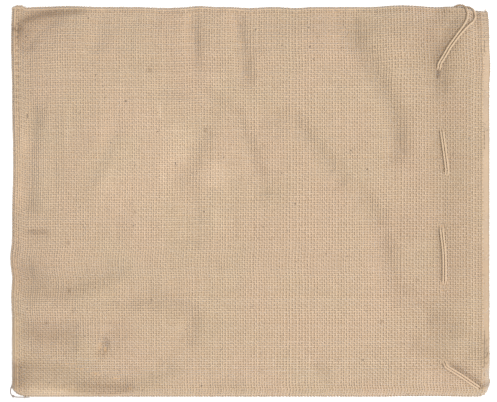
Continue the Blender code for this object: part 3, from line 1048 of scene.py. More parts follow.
def cloth_relief(x, y):
    edge = smooth(np.minimum.reduce(closed_distances(x, y)) / FOLD_FADE)
    soft = sum(high * uneven(x, y, cell, seed) for cell, high, seed in UNEVEN)
    creased = -crease_sum(x, y, CREASES, 0) * smooth((SLACK_FROM - x) / CREASE_FROM_CORD)
    return edge * (soft + creased) + seam_relief(x, y) + slack(x, y)


def outer_face(x, y, layer):
    """The height of a layer's outer face, and the way out of it."""
    raised = lift(x, y)
    if layer == "back":
        return raised, -1
    low = edge_height(x) + raised
    above = (front(x, y) + cloth_relief(x, y) - low) / SOFT_LANDING
    return low + SOFT_LANDING * np.logaddexp(0, above), 1


def under_face(x, y, layer, deep):
    """Points at a depth under a layer's outer face, in metres."""
    face, out = outer_face(x, y, layer)
    return np.stack([x, y, face - out * deep], axis=-1) * MM


def woven_point(u, v, layer):
    """Points of threads under a layer's outer face, and halfway between the layers at the closed edges."""
    at_edge = (u <= END_X) | (v <= FOLD_Y) | (v >= SEAM_Y)
    x, y = parted(*place(u, v, np.where(at_edge, -EDGE_OUT, EDGE_ROUND)))
    points = under_face(x, y, layer, THREAD_DEEP)
    points[..., 2] = np.where(at_edge, (lift(x, y) + edge_height(x) / 2) * MM, points[..., 2])
    return points


# Node trees

# How fast the noise changes that sways a thread, that spins it and a ply unevenly, and that curls a fibre
SWAY_SCALE = 26.0
SLUB_SCALE = 75.0
PLY_SLUB_SCALE = 140.0
CURL_SCALE = 160.0

# How far the noises of two threads and of two fibres are apart, and a fibre's two noises from each other
THREAD_STEP = 3.7
FIBRE_STEP = 5.3
CURL_APART = 50.0

# The least and most thickness of a thread and of a fibre for its usual one, and what their draws add to the
# seed
THREAD_GAUGE = (0.86, 1.14)
FIBRE_GAUGE = (0.6, 1.4)
THREAD_GAUGE_SEED = 5.0
FIBRE_GAUGE_SEED = 3.0

# The plies' tints: how far they spread, and the lowest
PLY_TINTS = (0.5, 0.25)

# What kind of socket each kind of default has
SOCKET_KINDS = {float: "NodeSocketFloat", int: "NodeSocketInt", tuple: "NodeSocketVector"}

# How many sides a thread or a fibre has, and a ply or a stitch
THIN_SIDES = 3
PLY_SIDES = 5


def node(tree, kind, inputs=None, **settings):
    """A new node, with its settings and with its inputs joined to other nodes' outputs or set to values."""
    made = tree.nodes.new(kind)
    for name, value in settings.items():
        setattr(made, name, value)
    for name, value in (inputs or {}).items():
        if isinstance(value, bpy.types.NodeSocket):
            tree.links.new(value, made.inputs[name])
        else:
            made.inputs[name].default_value = value
    return made


def math_of(tree, operation, a, b=0.0, c=0.0):
    return node(tree, "ShaderNodeMath", {0: a, 1: b, 2: c}, operation=operation).outputs[0]


def times(tree, first, *others):
    for other in others:
        first = math_of(tree, "MULTIPLY", first, other)
    return first


def vector_of(tree, operation, a, b):
    """A vector sum or product, or with SCALE a vector times a number."""
    second = "Scale" if operation == "SCALE" else 1
    return node(tree, "ShaderNodeVectorMath", {0: a, second: b}, operation=operation).outputs[0]


def xyz(tree, **axes):
    return node(tree, "ShaderNodeCombineXYZ", axes).outputs[0]


def named(tree, name):
    read = node(tree, "GeometryNodeInputNamedAttribute", {"Name": name}, data_type="FLOAT")
    return read.outputs["Attribute"]


def position(tree):
    return node(tree, "GeometryNodeInputPosition").outputs[0]


def on_spline(tree, name):
    return node(tree, "GeometryNodeSplineParameter").outputs[name]


def stored(tree, geometry, name, value, domain="POINT"):
    inputs = {"Geometry": geometry, "Name": name, "Value": value}
    made = node(tree, "GeometryNodeStoreNamedAttribute", inputs, data_type="FLOAT", domain=domain)
    return made.outputs["Geometry"]


def noise_of(tree, vector, w, scale):
    """4D noise from -1 to 1."""
    inputs = {"Vector": vector, "W": w, "Scale": scale, "Detail": 1.0}
    made = node(tree, "ShaderNodeTexNoise", inputs, noise_dimensions="4D")
    return math_of(tree, "MULTIPLY_ADD", made.outputs[0], 2.0, -1.0)


def random_of(tree, low, high, identity, seed):
    made = node(tree, "FunctionNodeRandomValue", {"ID": identity, "Seed": seed}, data_type="FLOAT")
    made.inputs[2].default_value = low
    made.inputs[3].default_value = high
    return made.outputs[1]


def new_tree(name, defaults):
    """A geometry node tree whose inputs have these names and defaults, and its input node's outputs."""
    tree = bpy.data.node_groups.new(name, "GeometryNodeTree")
    tree.interface.new_socket("Geometry", in_out="INPUT", socket_type="NodeSocketGeometry")
    for label, default in defaults.items():
        socket = tree.interface.new_socket(label, in_out="INPUT", socket_type=SOCKET_KINDS[type(default)])
        socket.default_value = default
    tree.interface.new_socket("Material", in_out="INPUT", socket_type="NodeSocketMaterial")
    tree.interface.new_socket("Geometry", in_out="OUTPUT", socket_type="NodeSocketGeometry")
    return tree, node(tree, "NodeGroupInput").outputs


def guide_lines(tree, given):
    return node(tree, "GeometryNodeMeshToCurve", {"Mesh": given["Geometry"]}).outputs[0]


def resampled(tree, line, step):
    return node(tree, "GeometryNodeResampleCurve", {"Curve": line, "Length": step}, mode="LENGTH").outputs[0]


def shifted(tree, line, offset):
    return node(tree, "GeometryNodeSetPosition", {"Geometry": line, "Offset": offset}).outputs[0]


def sized(tree, line, radius):
    return node(tree, "GeometryNodeSetCurveRadius", {"Curve": line, "Radius": radius}).outputs[0]


def close_tree(tree, geometry, given):
    """Ends a tree in smooth, realized geometry with its material."""
    real = node(tree, "GeometryNodeRealizeInstances", {"Geometry": geometry}).outputs[0]
    soft = node(tree, "GeometryNodeSetShadeSmooth", {"Geometry": real}).outputs[0]
    dyed = node(tree, "GeometryNodeSetMaterial", {"Geometry": soft, "Material": given["Material"]}).outputs[0]
    node(tree, "NodeGroupOutput", {"Geometry": dyed})


def profile_of(tree, sides, flatness=1.0, turn=(0.0, 0.0, 0.0)):
    """A thread's cross-section, which knows how far round it each of its points is."""
    ring = node(tree, "GeometryNodeCurvePrimitiveCircle", {"Resolution": sides, "Radius": 1.0}).outputs[0]
    ring = stored(tree, ring, "around", on_spline(tree, "Factor"))
    turned = node(tree, "GeometryNodeTransform", {"Geometry": ring, "Rotation": turn}).outputs[0]
    scale = xyz(tree, X=1.0, Y=flatness, Z=1.0)
    return node(tree, "GeometryNodeTransform", {"Geometry": turned, "Scale": scale}).outputs[0]


def tube(tree, line, profile):
    """A closed tube along a line, with the line's radius."""
    radius = node(tree, "GeometryNodeInputRadius").outputs[0]
    inputs = {"Curve": line, "Profile Curve": profile, "Scale": radius, "Fill Caps": True}
    return node(tree, "GeometryNodeCurveToMesh", inputs).outputs[0]


def thread_tree():
    """Turns each line of a guide into a thread that goes over and under those that it crosses."""
    tree, given = new_tree("woven_threads", {
        "Radius": 0.001,
        "Flatness": 0.6,
        "Wave": 0.00035,
        "Slub": 0.2,
        "Wander": 0.0003,
        "Sideways": (0.0, 1.0, 0.0),
        "Outward": 1.0,
        "Seed": 1,
    })
    line = guide_lines(tree, given)
    line = node(tree, "GeometryNodeSetCurveNormal", {"Curve": line}, mode="Z_UP").outputs[0]
    thread = named(tree, "thread")
    place_now = position(tree)
    own = math_of(tree, "MULTIPLY_ADD", thread, THREAD_STEP, given["Seed"])
    line = stored(tree, line, "tint", random_of(tree, 0.0, 1.0, thread, given["Seed"]))
    line = stored(tree, line, "along", on_spline(tree, "Length"))
    sway = times(tree, noise_of(tree, place_now, own, SWAY_SCALE), given["Wander"])
    up = xyz(tree, Z=times(tree, named(tree, "over"), given["Wave"], given["Outward"]))
    line = shifted(tree, line, vector_of(tree, "ADD", vector_of(tree, "SCALE", given["Sideways"], sway), up))
    slub = math_of(tree, "MULTIPLY_ADD", noise_of(tree, place_now, own, SLUB_SCALE), given["Slub"], 1.0)
    gauge = random_of(tree, *THREAD_GAUGE, thread, math_of(tree, "ADD", given["Seed"], THREAD_GAUGE_SEED))
    line = sized(tree, line, times(tree, gauge, slub, given["Radius"], named(tree, "girth")))
    turn = xyz(tree, Z=times(tree, given["Outward"], math.pi / 2))
    close_tree(tree, tube(tree, line, profile_of(tree, THIN_SIDES, given["Flatness"], turn)), given)
    return tree


def twine_tree():
    """Lays plies in a twist round each line of a guide."""
    tree, given = new_tree("twisted_twine", {
        "Plies": 2,
        "Ply radius": 0.0008,
        "Ply offset": 0.0006,
        "Turn length": 0.010,
        "Step": 0.0013,
        "Slub": 0.12,
        "Seed": 3,
    })
    line = resampled(tree, guide_lines(tree, given), given["Step"])
    line = node(tree, "GeometryNodeSetCurveNormal", {"Curve": line}, mode="MINIMUM_TWIST").outputs[0]
    line = stored(tree, line, "along", on_spline(tree, "Length"))
    normal = node(tree, "GeometryNodeInputNormal").outputs[0]
    tangent = node(tree, "GeometryNodeInputTangent").outputs[0]
    copies = {"Geometry": line, "Amount": given["Plies"]}
    copied = node(tree, "GeometryNodeDuplicateElements", copies, domain="SPLINE").outputs
    share = math_of(tree, "DIVIDE", copied["Duplicate Index"], given["Plies"])
    turns = math_of(tree, "ADD", math_of(tree, "DIVIDE", named(tree, "along"), given["Turn length"]), share)
    angle = times(tree, turns, 2 * math.pi)
    side = vector_of(tree, "CROSS_PRODUCT", tangent, normal)
    one = vector_of(tree, "SCALE", normal, math_of(tree, "COSINE", angle))
    other = vector_of(tree, "SCALE", side, math_of(tree, "SINE", angle))
    offset = vector_of(tree, "SCALE", vector_of(tree, "ADD", one, other), given["Ply offset"])
    plies = stored(tree, copied["Geometry"], "tint", math_of(tree, "MULTIPLY_ADD", share, *PLY_TINTS))
    plies = shifted(tree, plies, offset)
    noise = noise_of(tree, position(tree), share, PLY_SLUB_SCALE)
    gauge = math_of(tree, "MULTIPLY_ADD", noise, given["Slub"], 1.0)
    plies = sized(tree, plies, times(tree, gauge, given["Ply radius"], named(tree, "girth")))
    close_tree(tree, tube(tree, plies, profile_of(tree, PLY_SIDES)), given)
    return tree


def stitch_tree():
    """Sews a row of stitches along each line of a guide, each dipping into the cloth at both ends."""
    tree, given = new_tree("stitches", {
        "Pitch": 0.0056,
        "Length": 0.005,
        "Radius": 0.0004,
        "Rise": 0.0005,
        "Outward": 1.0,
        "Pit tone": 0.5,
        "Seed": 5,
    })
    half = times(tree, given["Length"], 0.5)
    ends = {"Start": xyz(tree, X=times(tree, half, -1.0)), "End": xyz(tree, X=half)}
    stitch = node(tree, "GeometryNodeCurvePrimitiveLine", ends).outputs[0]
    points = {"Curve": stitch, "Count": STITCH_POINTS}
    stitch = node(tree, "GeometryNodeResampleCurve", points, mode="COUNT").outputs[0]
    share = on_spline(tree, "Factor")
    arch = math_of(tree, "SINE", times(tree, share, math.pi))
    stitch = stored(tree, stitch, "along", times(tree, share, given["Length"]))
    # The stitch's ends take painted shade where they dip into the cloth
    clear = math_of(tree, "MINIMUM", times(tree, arch, PIT_STEEP), 1.0)
    rest = math_of(tree, "SUBTRACT", 1.0, given["Pit tone"])
    stitch = stored(tree, stitch, "tone", math_of(tree, "MULTIPLY_ADD", clear, rest, given["Pit tone"]))
    stitch = shifted(tree, stitch, xyz(tree, Z=times(tree, arch, given["Rise"], given["Outward"])))
    stitch = sized(tree, stitch, given["Radius"])
    stitch = tube(tree, stitch, profile_of(tree, PLY_SIDES, STITCH_FLATNESS))
    line = resampled(tree, guide_lines(tree, given), given["Pitch"])
    tangent = node(tree, "GeometryNodeInputTangent").outputs[0]
    turn = node(tree, "FunctionNodeAlignRotationToVector", {"Vector": tangent}, axis="X").outputs[0]
    sewn = {"Points": line, "Instance": stitch, "Rotation": turn}
    sewn = node(tree, "GeometryNodeInstanceOnPoints", sewn).outputs[0]
    tint = random_of(tree, 0.0, 1.0, node(tree, "GeometryNodeInputIndex").outputs[0], given["Seed"])
    close_tree(tree, stored(tree, sewn, "tint", tint, "INSTANCE"), given)
    return tree


def fibre_tree():
    """Turns each line of a guide into a loose fibre or yarn end that curls and tapers."""
    tree, given = new_tree("loose_fibres", {
        "Radius": 0.00008,
        "Curl": 0.0008,
        "Taper": 0.6,
        "Seed": 9,
    })
    fibre = named(tree, "fibre")
    share = on_spline(tree, "Factor")
    place_now = position(tree)
    own = math_of(tree, "MULTIPLY_ADD", fibre, FIBRE_STEP, given["Seed"])
    line = stored(tree, guide_lines(tree, given), "tint", random_of(tree, 0.0, 1.0, fibre, given["Seed"]))
    line = stored(tree, line, "along", on_spline(tree, "Length"))
    other = math_of(tree, "ADD", own, CURL_APART)
    curl = xyz(
        tree,
        X=noise_of(tree, place_now, own, CURL_SCALE),
        Y=noise_of(tree, place_now, other, CURL_SCALE),
    )
    line = shifted(tree, line, vector_of(tree, "SCALE", curl, times(tree, given["Curl"], share)))
    gauge = random_of(tree, *FIBRE_GAUGE, fibre, math_of(tree, "ADD", given["Seed"], FIBRE_GAUGE_SEED))
    left = math_of(tree, "SUBTRACT", 1.0, times(tree, given["Taper"], share))
    line = sized(tree, line, times(tree, gauge, given["Radius"], left))
    close_tree(tree, tube(tree, line, profile_of(tree, THIN_SIDES)), given)
    return tree


def guide(name, lines, **values):
    """A mesh of open lines for a node tree: an array of lines by points by coordinates, in metres, and the
    values that its points have."""
    lines = np.asarray(lines, float)
    count, steps = lines.shape[:2]
    index = np.arange(count * steps).reshape(count, steps)
    edges = np.stack([index[:, :-1], index[:, 1:]], axis=-1).reshape(-1, 2)
    mesh = bpy.data.meshes.new(name)
    mesh.vertices.add(count * steps)
    mesh.vertices.foreach_set("co", lines.ravel())
    mesh.edges.add(len(edges))
    mesh.edges.foreach_set("vertices", edges.ravel())
    for label, value in values.items():
        spread = np.broadcast_to(value, (count, steps)).ravel().astype(np.float32)
        mesh.attributes.new(label, "FLOAT", "POINT").data.foreach_set("value", spread)
    return linked(name, mesh)


def linked(name, data):
    made = bpy.data.objects.new(name, data)
    bpy.context.scene.collection.objects.link(made)
    return made


def grow(piece, tree, values):
    """Runs a node tree on a guide with named values, and leaves the result as the piece's plain mesh."""
    modifier = piece.modifiers.new(tree.name, "NODES")
    modifier.node_group = tree
    for item in tree.interface.items_tree:
        if item.in_out == "INPUT" and item.name in values:
            modifier[item.identifier] = values[item.name]
    shown = piece.evaluated_get(bpy.context.evaluated_depsgraph_get())
    mesh = bpy.data.meshes.new_from_object(shown)
    if not mesh.polygons:
        raise RuntimeError(f"{piece.name}: its node tree made no faces")
    piece.modifiers.remove(modifier)
    piece.data = mesh
    return piece


def laid_out(mesh, count, length):
    """Gives the threads' mesh a map with each thread as a strip, across it, from its start to its end."""
    read = {}
    for name in ("thread", "along", "around"):
        read[name] = np.empty(len(mesh.vertices), np.float32)
        mesh.attributes[name].data.foreach_get("value", read[name])
    corner = np.empty(len(mesh.loops), np.int32)
    mesh.loops.foreach_get("vertex_index", corner)
    first, size = np.empty(len(mesh.polygons), np.int32), np.empty(len(mesh.polygons), np.int32)
    mesh.polygons.foreach_get("loop_start", first)
    mesh.polygons.foreach_get("loop_total", size)
    around = read["around"][corner]
    last = np.repeat(np.maximum.reduceat(around, first), size)
    around = np.where((around < STRIP_GAP) & (last > 0.5), 1.0, around)
    strip = (read["thread"][corner] + STRIP_GAP + around * (1 - 2 * STRIP_GAP)) / count
    places = np.stack([read["along"][corner] / length, strip], axis=-1)
    mesh.uv_layers.new(name=THREAD_MAP).data.foreach_set("uv", places.astype(np.float32).ravel())


# Materials


# How strongly the painted shade in a crease darkens red, green and blue
TONE_POWERS = (0.85, 1.0, 1.2)

# The middle of a noise's values, which is spread out
MIDDLE = (0.3, 0.7)

# A thread's colour, from the dark to the light one: the least, and how much its tint, its tone and its
# fibres add
JUTE_LEAST = 0.13
JUTE_BY_TINT = 0.16
JUTE_BY_TONE = 0.34
JUTE_BY_FIBRES = 0.12

# How fast the tone changes along a thread and by its tint, and the fibres along it, round it and by its tint
TONE_ALONG = 45.0
TONE_BY_TINT = 91.0
FIBRES_ALONG = 260.0
FIBRES_ROUND = 9.0
FIBRES_BY_TINT = 47.0

# The patches of hue and the flecks of bark: how fast they change, which values they lie between, and how
# strong the bark is
HUE_SCALE = 16.0
HUE_RANGE = (0.35, 0.65)
BARK_SCALE = 210.0
BARK_RANGE = (0.755, 0.80)
BARK_MOST = 0.75

# The ground: how fast its fibres and its hem's patches change, and the least and most that its fibres are
# light
GROUND_SCALE = 900.0
HEM_SCALE = 34.0
GROUND_LIGHT = (0.1, 0.7)

# How far in from the mouth a second layer begins to show in the gaps and is there wholly, and how light it is
DOUBLED = (24.0, 20.0)
DOUBLED_LIGHT = 0.5


def new_material(name, roughness, sheen):
    material = bpy.data.materials.new(name)
    material.use_nodes = True
    tree = material.node_tree
    shader = tree.nodes["Principled BSDF"]
    shader.inputs["Roughness"].default_value = roughness
    shader.inputs["Sheen Weight"].default_value = sheen
    shader.inputs["Sheen Roughness"].default_value = 0.5
    shader.inputs["Specular IOR Level"].default_value = 0.2
    return material, tree, shader


def mixed(tree, factor, one, other):
    made = node(tree, "ShaderNodeMix", {0: factor, 6: one, 7: other}, data_type="RGBA")
    return made.outputs[2]


def attribute(tree, name):
    return node(tree, "ShaderNodeAttribute", attribute_name=name).outputs["Fac"]


def object_place(tree):
    return node(tree, "ShaderNodeTexCoord").outputs["Object"]


def pattern(tree, vector, scale, detail=2.0):
    made = node(tree, "ShaderNodeTexNoise", {"Vector": vector, "Scale": scale, "Detail": detail})
    return made.outputs[0]


def ranged(tree, value, low, high, to_low=0.0, to_high=1.0):
    inputs = {0: value, 1: low, 2: high, 3: to_low, 4: to_high}
    return node(tree, "ShaderNodeMapRange", inputs).outputs[0]


def toned(tree, colour):
    """The colour times the tone attribute, which holds painted shade and light, and so browner in creases where the
    painted shade is darker.
    """
    tone = attribute(tree, "tone")
    powers = {axis: math_of(tree, "POWER", tone, power) for axis, power in zip("XYZ", TONE_POWERS)}
    return vector_of(tree, "MULTIPLY", colour, xyz(tree, **powers))


def bumped(tree, shader, height, strength, distance):
    bump = node(tree, "ShaderNodeBump", {"Strength": strength, "Distance": distance, "Height": height})
    tree.links.new(bump.outputs[0], shader.inputs["Normal"])


def jute_material(name, dark, light, colours, bump, has_tone=False):
    """Spun jute: each thread has its own tone, which changes along it, with fibres, bark and hue patches."""
    material, tree, shader = new_material(name, roughness=0.88, sheen=0.5)
    tint = attribute(tree, "tint")
    along = attribute(tree, "along")
    whole = object_place(tree)
    own = xyz(tree, X=times(tree, along, TONE_ALONG), Y=times(tree, tint, TONE_BY_TINT))
    tone = pattern(tree, own, 1.0, detail=3.0)
    fibre = xyz(
        tree,
        X=times(tree, along, FIBRES_ALONG),
        Y=times(tree, attribute(tree, "around"), FIBRES_ROUND),
        Z=times(tree, tint, FIBRES_BY_TINT),
    )
    fibres = pattern(tree, fibre, 1.0, detail=3.0)
    value = math_of(tree, "MULTIPLY_ADD", tint, JUTE_BY_TINT, JUTE_LEAST)
    value = math_of(tree, "MULTIPLY_ADD", ranged(tree, tone, *MIDDLE), JUTE_BY_TONE, value)
    value = math_of(tree, "MULTIPLY_ADD", ranged(tree, fibres, *MIDDLE), JUTE_BY_FIBRES, value)
    keep = math_of(tree, "MULTIPLY_ADD", attribute(tree, "plain"), PRESSED_TONE - 1.0, 1.0)
    own_value = math_of(tree, "SUBTRACT", value, PRESSED_VALUE)
    value = math_of(tree, "MULTIPLY_ADD", own_value, keep, PRESSED_VALUE)
    colour = mixed(tree, value, dark, light)
    hue = ranged(tree, pattern(tree, whole, HUE_SCALE, detail=1.0), *HUE_RANGE)
    shade = mixed(tree, hue, colours.cool, colours.warm)
    both = {0: 1.0, 6: colour, 7: shade}
    blend = node(tree, "ShaderNodeMix", both, data_type="RGBA", blend_type="MULTIPLY")
    bark = ranged(tree, pattern(tree, whole, BARK_SCALE, detail=1.0), *BARK_RANGE, 0.0, BARK_MOST)
    colour = mixed(tree, bark, blend.outputs[2], colours.bark)
    # With has_tone, the tone attribute's painted shade and light multiply the colour
    tree.links.new(toned(tree, colour) if has_tone else colour, shader.inputs["Base Color"])
    bumped(tree, shader, fibres, strength=bump, distance=0.0003)
    return material


def ground_material(name, colours):
    """What shows between the threads: shaded cloth, and in the hem the turned layer in greyer tones."""
    material, tree, shader = new_material(name, roughness=0.95, sheen=0.1)
    whole = object_place(tree)
    x = node(tree, "ShaderNodeSeparateXYZ", {0: whole}).outputs[0]
    fibres = pattern(tree, whole, GROUND_SCALE, detail=3.0)
    doubled = ranged(tree, x, *((MOUTH_X - inside) * MM for inside in DOUBLED))
    band = ranged(tree, x, (MOUTH_X - BAND_WIDE - BAND_STEP) * MM, (MOUTH_X - BAND_WIDE) * MM)
    # The gaps' colour is painted shade, paler near the mouth where the hem's second layer shows
    gap = mixed(tree, doubled, colours.gap, mixed(tree, DOUBLED_LIGHT, colours.gap, colours.dark))
    colour = mixed(tree, ranged(tree, fibres, *MIDDLE, *GROUND_LIGHT), gap, colours.dark)
    patches = ranged(tree, pattern(tree, whole, HEM_SCALE, detail=3.0), *MIDDLE)
    colour = mixed(tree, band, colour, mixed(tree, patches, colours.hem_dark, colours.hem_light))
    tree.links.new(toned(tree, colour), shader.inputs["Base Color"])
    bumped(tree, shader, fibres, strength=0.5, distance=0.0004)
    return material


# Settings


def colour_setting(name, description, *colour):
    return FloatVectorProperty(
        name=name, description=description, default=(*colour, 1.0), size=4, subtype="COLOR",
    )


class ClothSettings(PropertyGroup):
    """The hessian of the bag."""

    threads_along: IntProperty(
        name="Crosswise threads", description="How many threads cross the bag", default=THREADS_ALONG,
    )
    threads_across: IntProperty(
        name="Lengthwise threads", description="How many threads run along it", default=THREADS_ACROSS,
    )
    radius: FloatProperty(
        name="Thread radius", description="Half a thread's width", default=0.00122, unit="LENGTH", precision=5
    )
    flatness: FloatProperty(
        name="Flatness", description="A thread's height for its width", default=0.36, subtype="FACTOR"
    )
    wave: FloatProperty(
        name="Wave", description="How far a thread rises over one and dips under the next", default=0.00011,
        unit="LENGTH", precision=5,
    )
    slub: FloatProperty(name="Slub", description="How unevenly it is spun", default=0.24, subtype="FACTOR")
    wander: FloatProperty(
        name="Wander", description="How far a thread strays from its straight line", default=0.00055,
        unit="LENGTH", precision=5,
    )
    uneven: FloatProperty(
        name="Uneven spacing", description="How much the gaps between threads differ", default=0.22,
        subtype="FACTOR",
    )
    seed: IntProperty(name="Seed", description="Which of many like cloths", default=7)


class CordSettings(PropertyGroup):
    """The drawcord's twine and the seam's thread."""

    turn: FloatProperty(
        name="Turn length", description="Length of one turn of the twine's plies", default=0.0105,
        unit="LENGTH", precision=4,
    )
    plies: IntProperty(name="Plies", description="How many plies are laid together", default=3)


class ColourSettings(PropertyGroup):
    """The tones of undyed jute, and the painted shade between its threads."""

    light: colour_setting("Light jute", "The palest fibres", 0.655, 0.488, 0.331)
    dark: colour_setting("Dark jute", "The darkest common fibres", 0.476, 0.333, 0.204)
    gap: colour_setting("Gaps", "The shade between the threads", 0.458, 0.303, 0.176)
    hem_light: colour_setting("Light hem", "The turned hem where it is palest", 0.475, 0.352, 0.242)
    hem_dark: colour_setting("Dark hem", "The turned hem where it is greyest", 0.415, 0.315, 0.226)
    bark: colour_setting("Bark", "Flecks of bark in the yarn", 0.10, 0.06, 0.035)
    warm: colour_setting("Warm patches", "Multiplies the jute's colour", 0.995, 0.96, 0.938)
    cool: colour_setting("Cool patches", "Multiplies the jute's colour", 0.968, 0.966, 0.925)
    twine_light: colour_setting("Light twine", "The drawcord's palest fibres", 0.615, 0.465, 0.326)
    twine_dark: colour_setting("Dark twine", "The drawcord's darkest fibres", 0.505, 0.367, 0.240)
    thread_light: colour_setting("Light seam thread", "The seam thread's palest fibres", 0.42, 0.36, 0.33)
    thread_dark: colour_setting("Dark seam thread", "The seam thread's darkest fibres", 0.20, 0.16, 0.15)


class StageSettings(PropertyGroup):
    """The floor, the light and the camera."""

    floor: colour_setting("Floor", "The floor's colour", 0.90, 0.90, 0.90)
    key: FloatProperty(
        name="Key light", description="The soft box at the mouth's lower corner", default=160.0, unit="POWER",
    )
    fill: FloatProperty(name="Fill light", description="The light from all round", default=0.74)
    lens: FloatProperty(name="Lens", description="Focal length in millimetres", default=100.0)


def settings(context):
    scene = context.scene
    return scene.bag_cloth, scene.bag_cord, scene.bag_colours, scene.bag_stage


# Pieces


def faced(piece, slot, *nodes):
    """Joins a finished piece to the frame."""
    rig.ride(piece, "root")
    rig.slot(piece, slot)
    if nodes:
        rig.replaces(piece, *nodes)
    return piece


def stations(low, high):
    """Places along an edge, closer together near its ends."""
    count = int((high - low - 2 * GROUND_EVEN) / GROUND_CELL)
    even = np.linspace(low + GROUND_EVEN, high - GROUND_EVEN, count)
    steps = np.array(GROUND_STEPS)
    return np.concatenate([low + steps, even, high - steps[::-1]])


def closed_sides(grid):
    """The part of a grid along its three closed edges, in order round them."""
    return np.concatenate([grid[::-1, 0], grid[0, 1:], grid[1:, -1]])


def strip(one, other):
    return np.stack([one[:-1], one[1:], other[1:], other[:-1]], axis=-1)


def recalculated(mesh):
    bm = bmesh.new()
    bm.from_mesh(mesh)
    bmesh.ops.recalc_face_normals(bm, faces=bm.faces)
    bm.to_mesh(mesh)
    bm.free()


class BAG_OT_ground(Operator):
    """Make the cloth as one thin closed sheet, open at the mouth, which the threads lie in"""

    bl_idname = "bag.ground"
    bl_label = "Cloth"

    def execute(self, context):
        *_, colours, _ = settings(context)
        u, v = np.meshgrid(stations(END_X, MOUTH_X), stations(FOLD_Y, SEAM_Y), indexing="ij")
        faces_of = (
            ("front", GROUND_DEEP, HEM_DEEP, GROUND_INSET),
            ("front", GROUND_INSIDE, GROUND_INSIDE + WALL, POCKET_INSET),
            ("back", GROUND_INSIDE, GROUND_INSIDE + WALL, POCKET_INSET),
            ("back", GROUND_DEEP, HEM_DEEP, GROUND_INSET),
        )
        points = []
        for layer, plain, hemmed, inset in faces_of:
            x, y = parted(*place(u, v, inset))
            points.append(under_face(x, y, layer, plain + (hemmed - plain) * in_hem(x, y)))
        index = np.arange(u.size * len(points)).reshape(len(points), *u.shape)
        quads = []
        for n, grid in enumerate(index):
            cells = np.stack([grid[:-1, :-1], grid[1:, :-1], grid[1:, 1:], grid[:-1, 1:]], axis=-1)
            cells = cells.reshape(-1, 4)
            quads.append(cells if n in (0, 2) else cells[:, ::-1])
        outline = (closed_sides(points[0]) + closed_sides(points[3])) / 2
        x, y = place(closed_sides(u), closed_sides(v), -GROUND_OUT)
        outline[:, 0], outline[:, 1] = x * MM, y * MM
        edge_line = np.arange(len(outline)) + index.size
        quads += [
            strip(closed_sides(index[0]), edge_line),
            strip(edge_line, closed_sides(index[3])),
            strip(closed_sides(index[2]), closed_sides(index[1])),
            strip(index[1][-1], index[0][-1]),
            strip(index[3][-1], index[2][-1]),
        ]
        ends = [[*index[:, -1, side], edge_line[side]] for side in (0, -1)]
        vertices = np.concatenate([at.reshape(-1, 3) for at in points] + [outline])
        mesh = bpy.data.meshes.new(SHEET)
        mesh.from_pydata(vertices.tolist(), [], np.concatenate(quads).tolist() + ends)
        mesh.validate()
        x, y = vertices[:, 0] / MM, vertices[:, 1] / MM
        # The outer faces take the painted shade and light of crease_tone, and the edge line the painted edge shade
        tone = np.where(np.arange(len(vertices)) < u.size, crease_tone(x, y), 1.0).astype(np.float32)
        tone[edge_line] = 1.0 - EDGE_TONE
        mesh.attributes.new("tone", "FLOAT", "POINT").data.foreach_set("value", tone)
        recalculated(mesh)
        mesh.shade_smooth()
        mesh.materials.append(ground_material("hessian_ground", colours))
        faced(linked(SHEET, mesh), "hessian", "bag_cloth")
        return {"FINISHED"}


def spaced(count, low, high, growth, uneven_by, seed):
    """Where a layer's threads lie, in gaps that grow, drift and differ, with half a gap at both ends."""
    rng = np.random.default_rng(seed)
    t = np.linspace(0.0, 1.0, count + 1)
    drift = np.interp(t, np.linspace(0.0, 1.0, SPACING_DRIFTS), rng.uniform(-1, 1, SPACING_DRIFTS))
    own = DRIFT_SHARE * drift + rng.uniform(-1, 1, count + 1)
    gaps = (1 + growth * (t - 0.5)) * (1 + uneven_by * own)
    gaps[[0, -1]] *= 0.5
    return low + np.cumsum(gaps)[:-1] / gaps.sum() * (high - low)


def fullness(places):
    """How much fuller than the others a thread lies where it has more room."""
    room = np.pad(np.gradient(places), ROOM_THREADS // 2, mode="edge")
    room = np.convolve(room, np.full(ROOM_THREADS, 1 / ROOM_THREADS), mode="valid")
    return np.sqrt(room / room.mean())[:, None]


def wave_left(lines):
    """The hem's threads are pressed flat."""
    return 1 - (1 - HEM_WAVE) * pressed(lines[..., 0] / MM, lines[..., 1] / MM)


def weave(tree, material, cloth, name, lines, over, places, outward):
    lengthwise = name.endswith("lengthwise")
    x, y = lines[..., 0] / MM, lines[..., 1] / MM
    plain = pressed(x, y)
    values = {
        "thread": np.arange(len(lines))[:, None],
        "over": over,
        "tone": crease_tone(x, y) if outward > 0 else 1.0,
        "girth": fullness(places) * (1 + HEM_GIRTH * plain),
        "plain": plain,
    }
    piece = grow(guide(name + "_threads", lines, **values), tree, {
        "Radius": cloth.radius,
        "Flatness": cloth.flatness,
        "Wave": cloth.wave,
        "Slub": cloth.slub,
        "Wander": cloth.wander,
        "Sideways": (0, 1, 0) if lengthwise else (1, 0, 0),
        "Outward": outward,
        "Seed": cloth.seed + sum(map(ord, name)) % SEED_SPAN,
        "Material": material,
    })
    longest = LENGTH * MM * MAP_LONGER[0] if lengthwise else WIDTH * MM * MAP_LONGER[1]
    laid_out(piece.data, len(lines), longest)
    return faced(piece, "hessian")


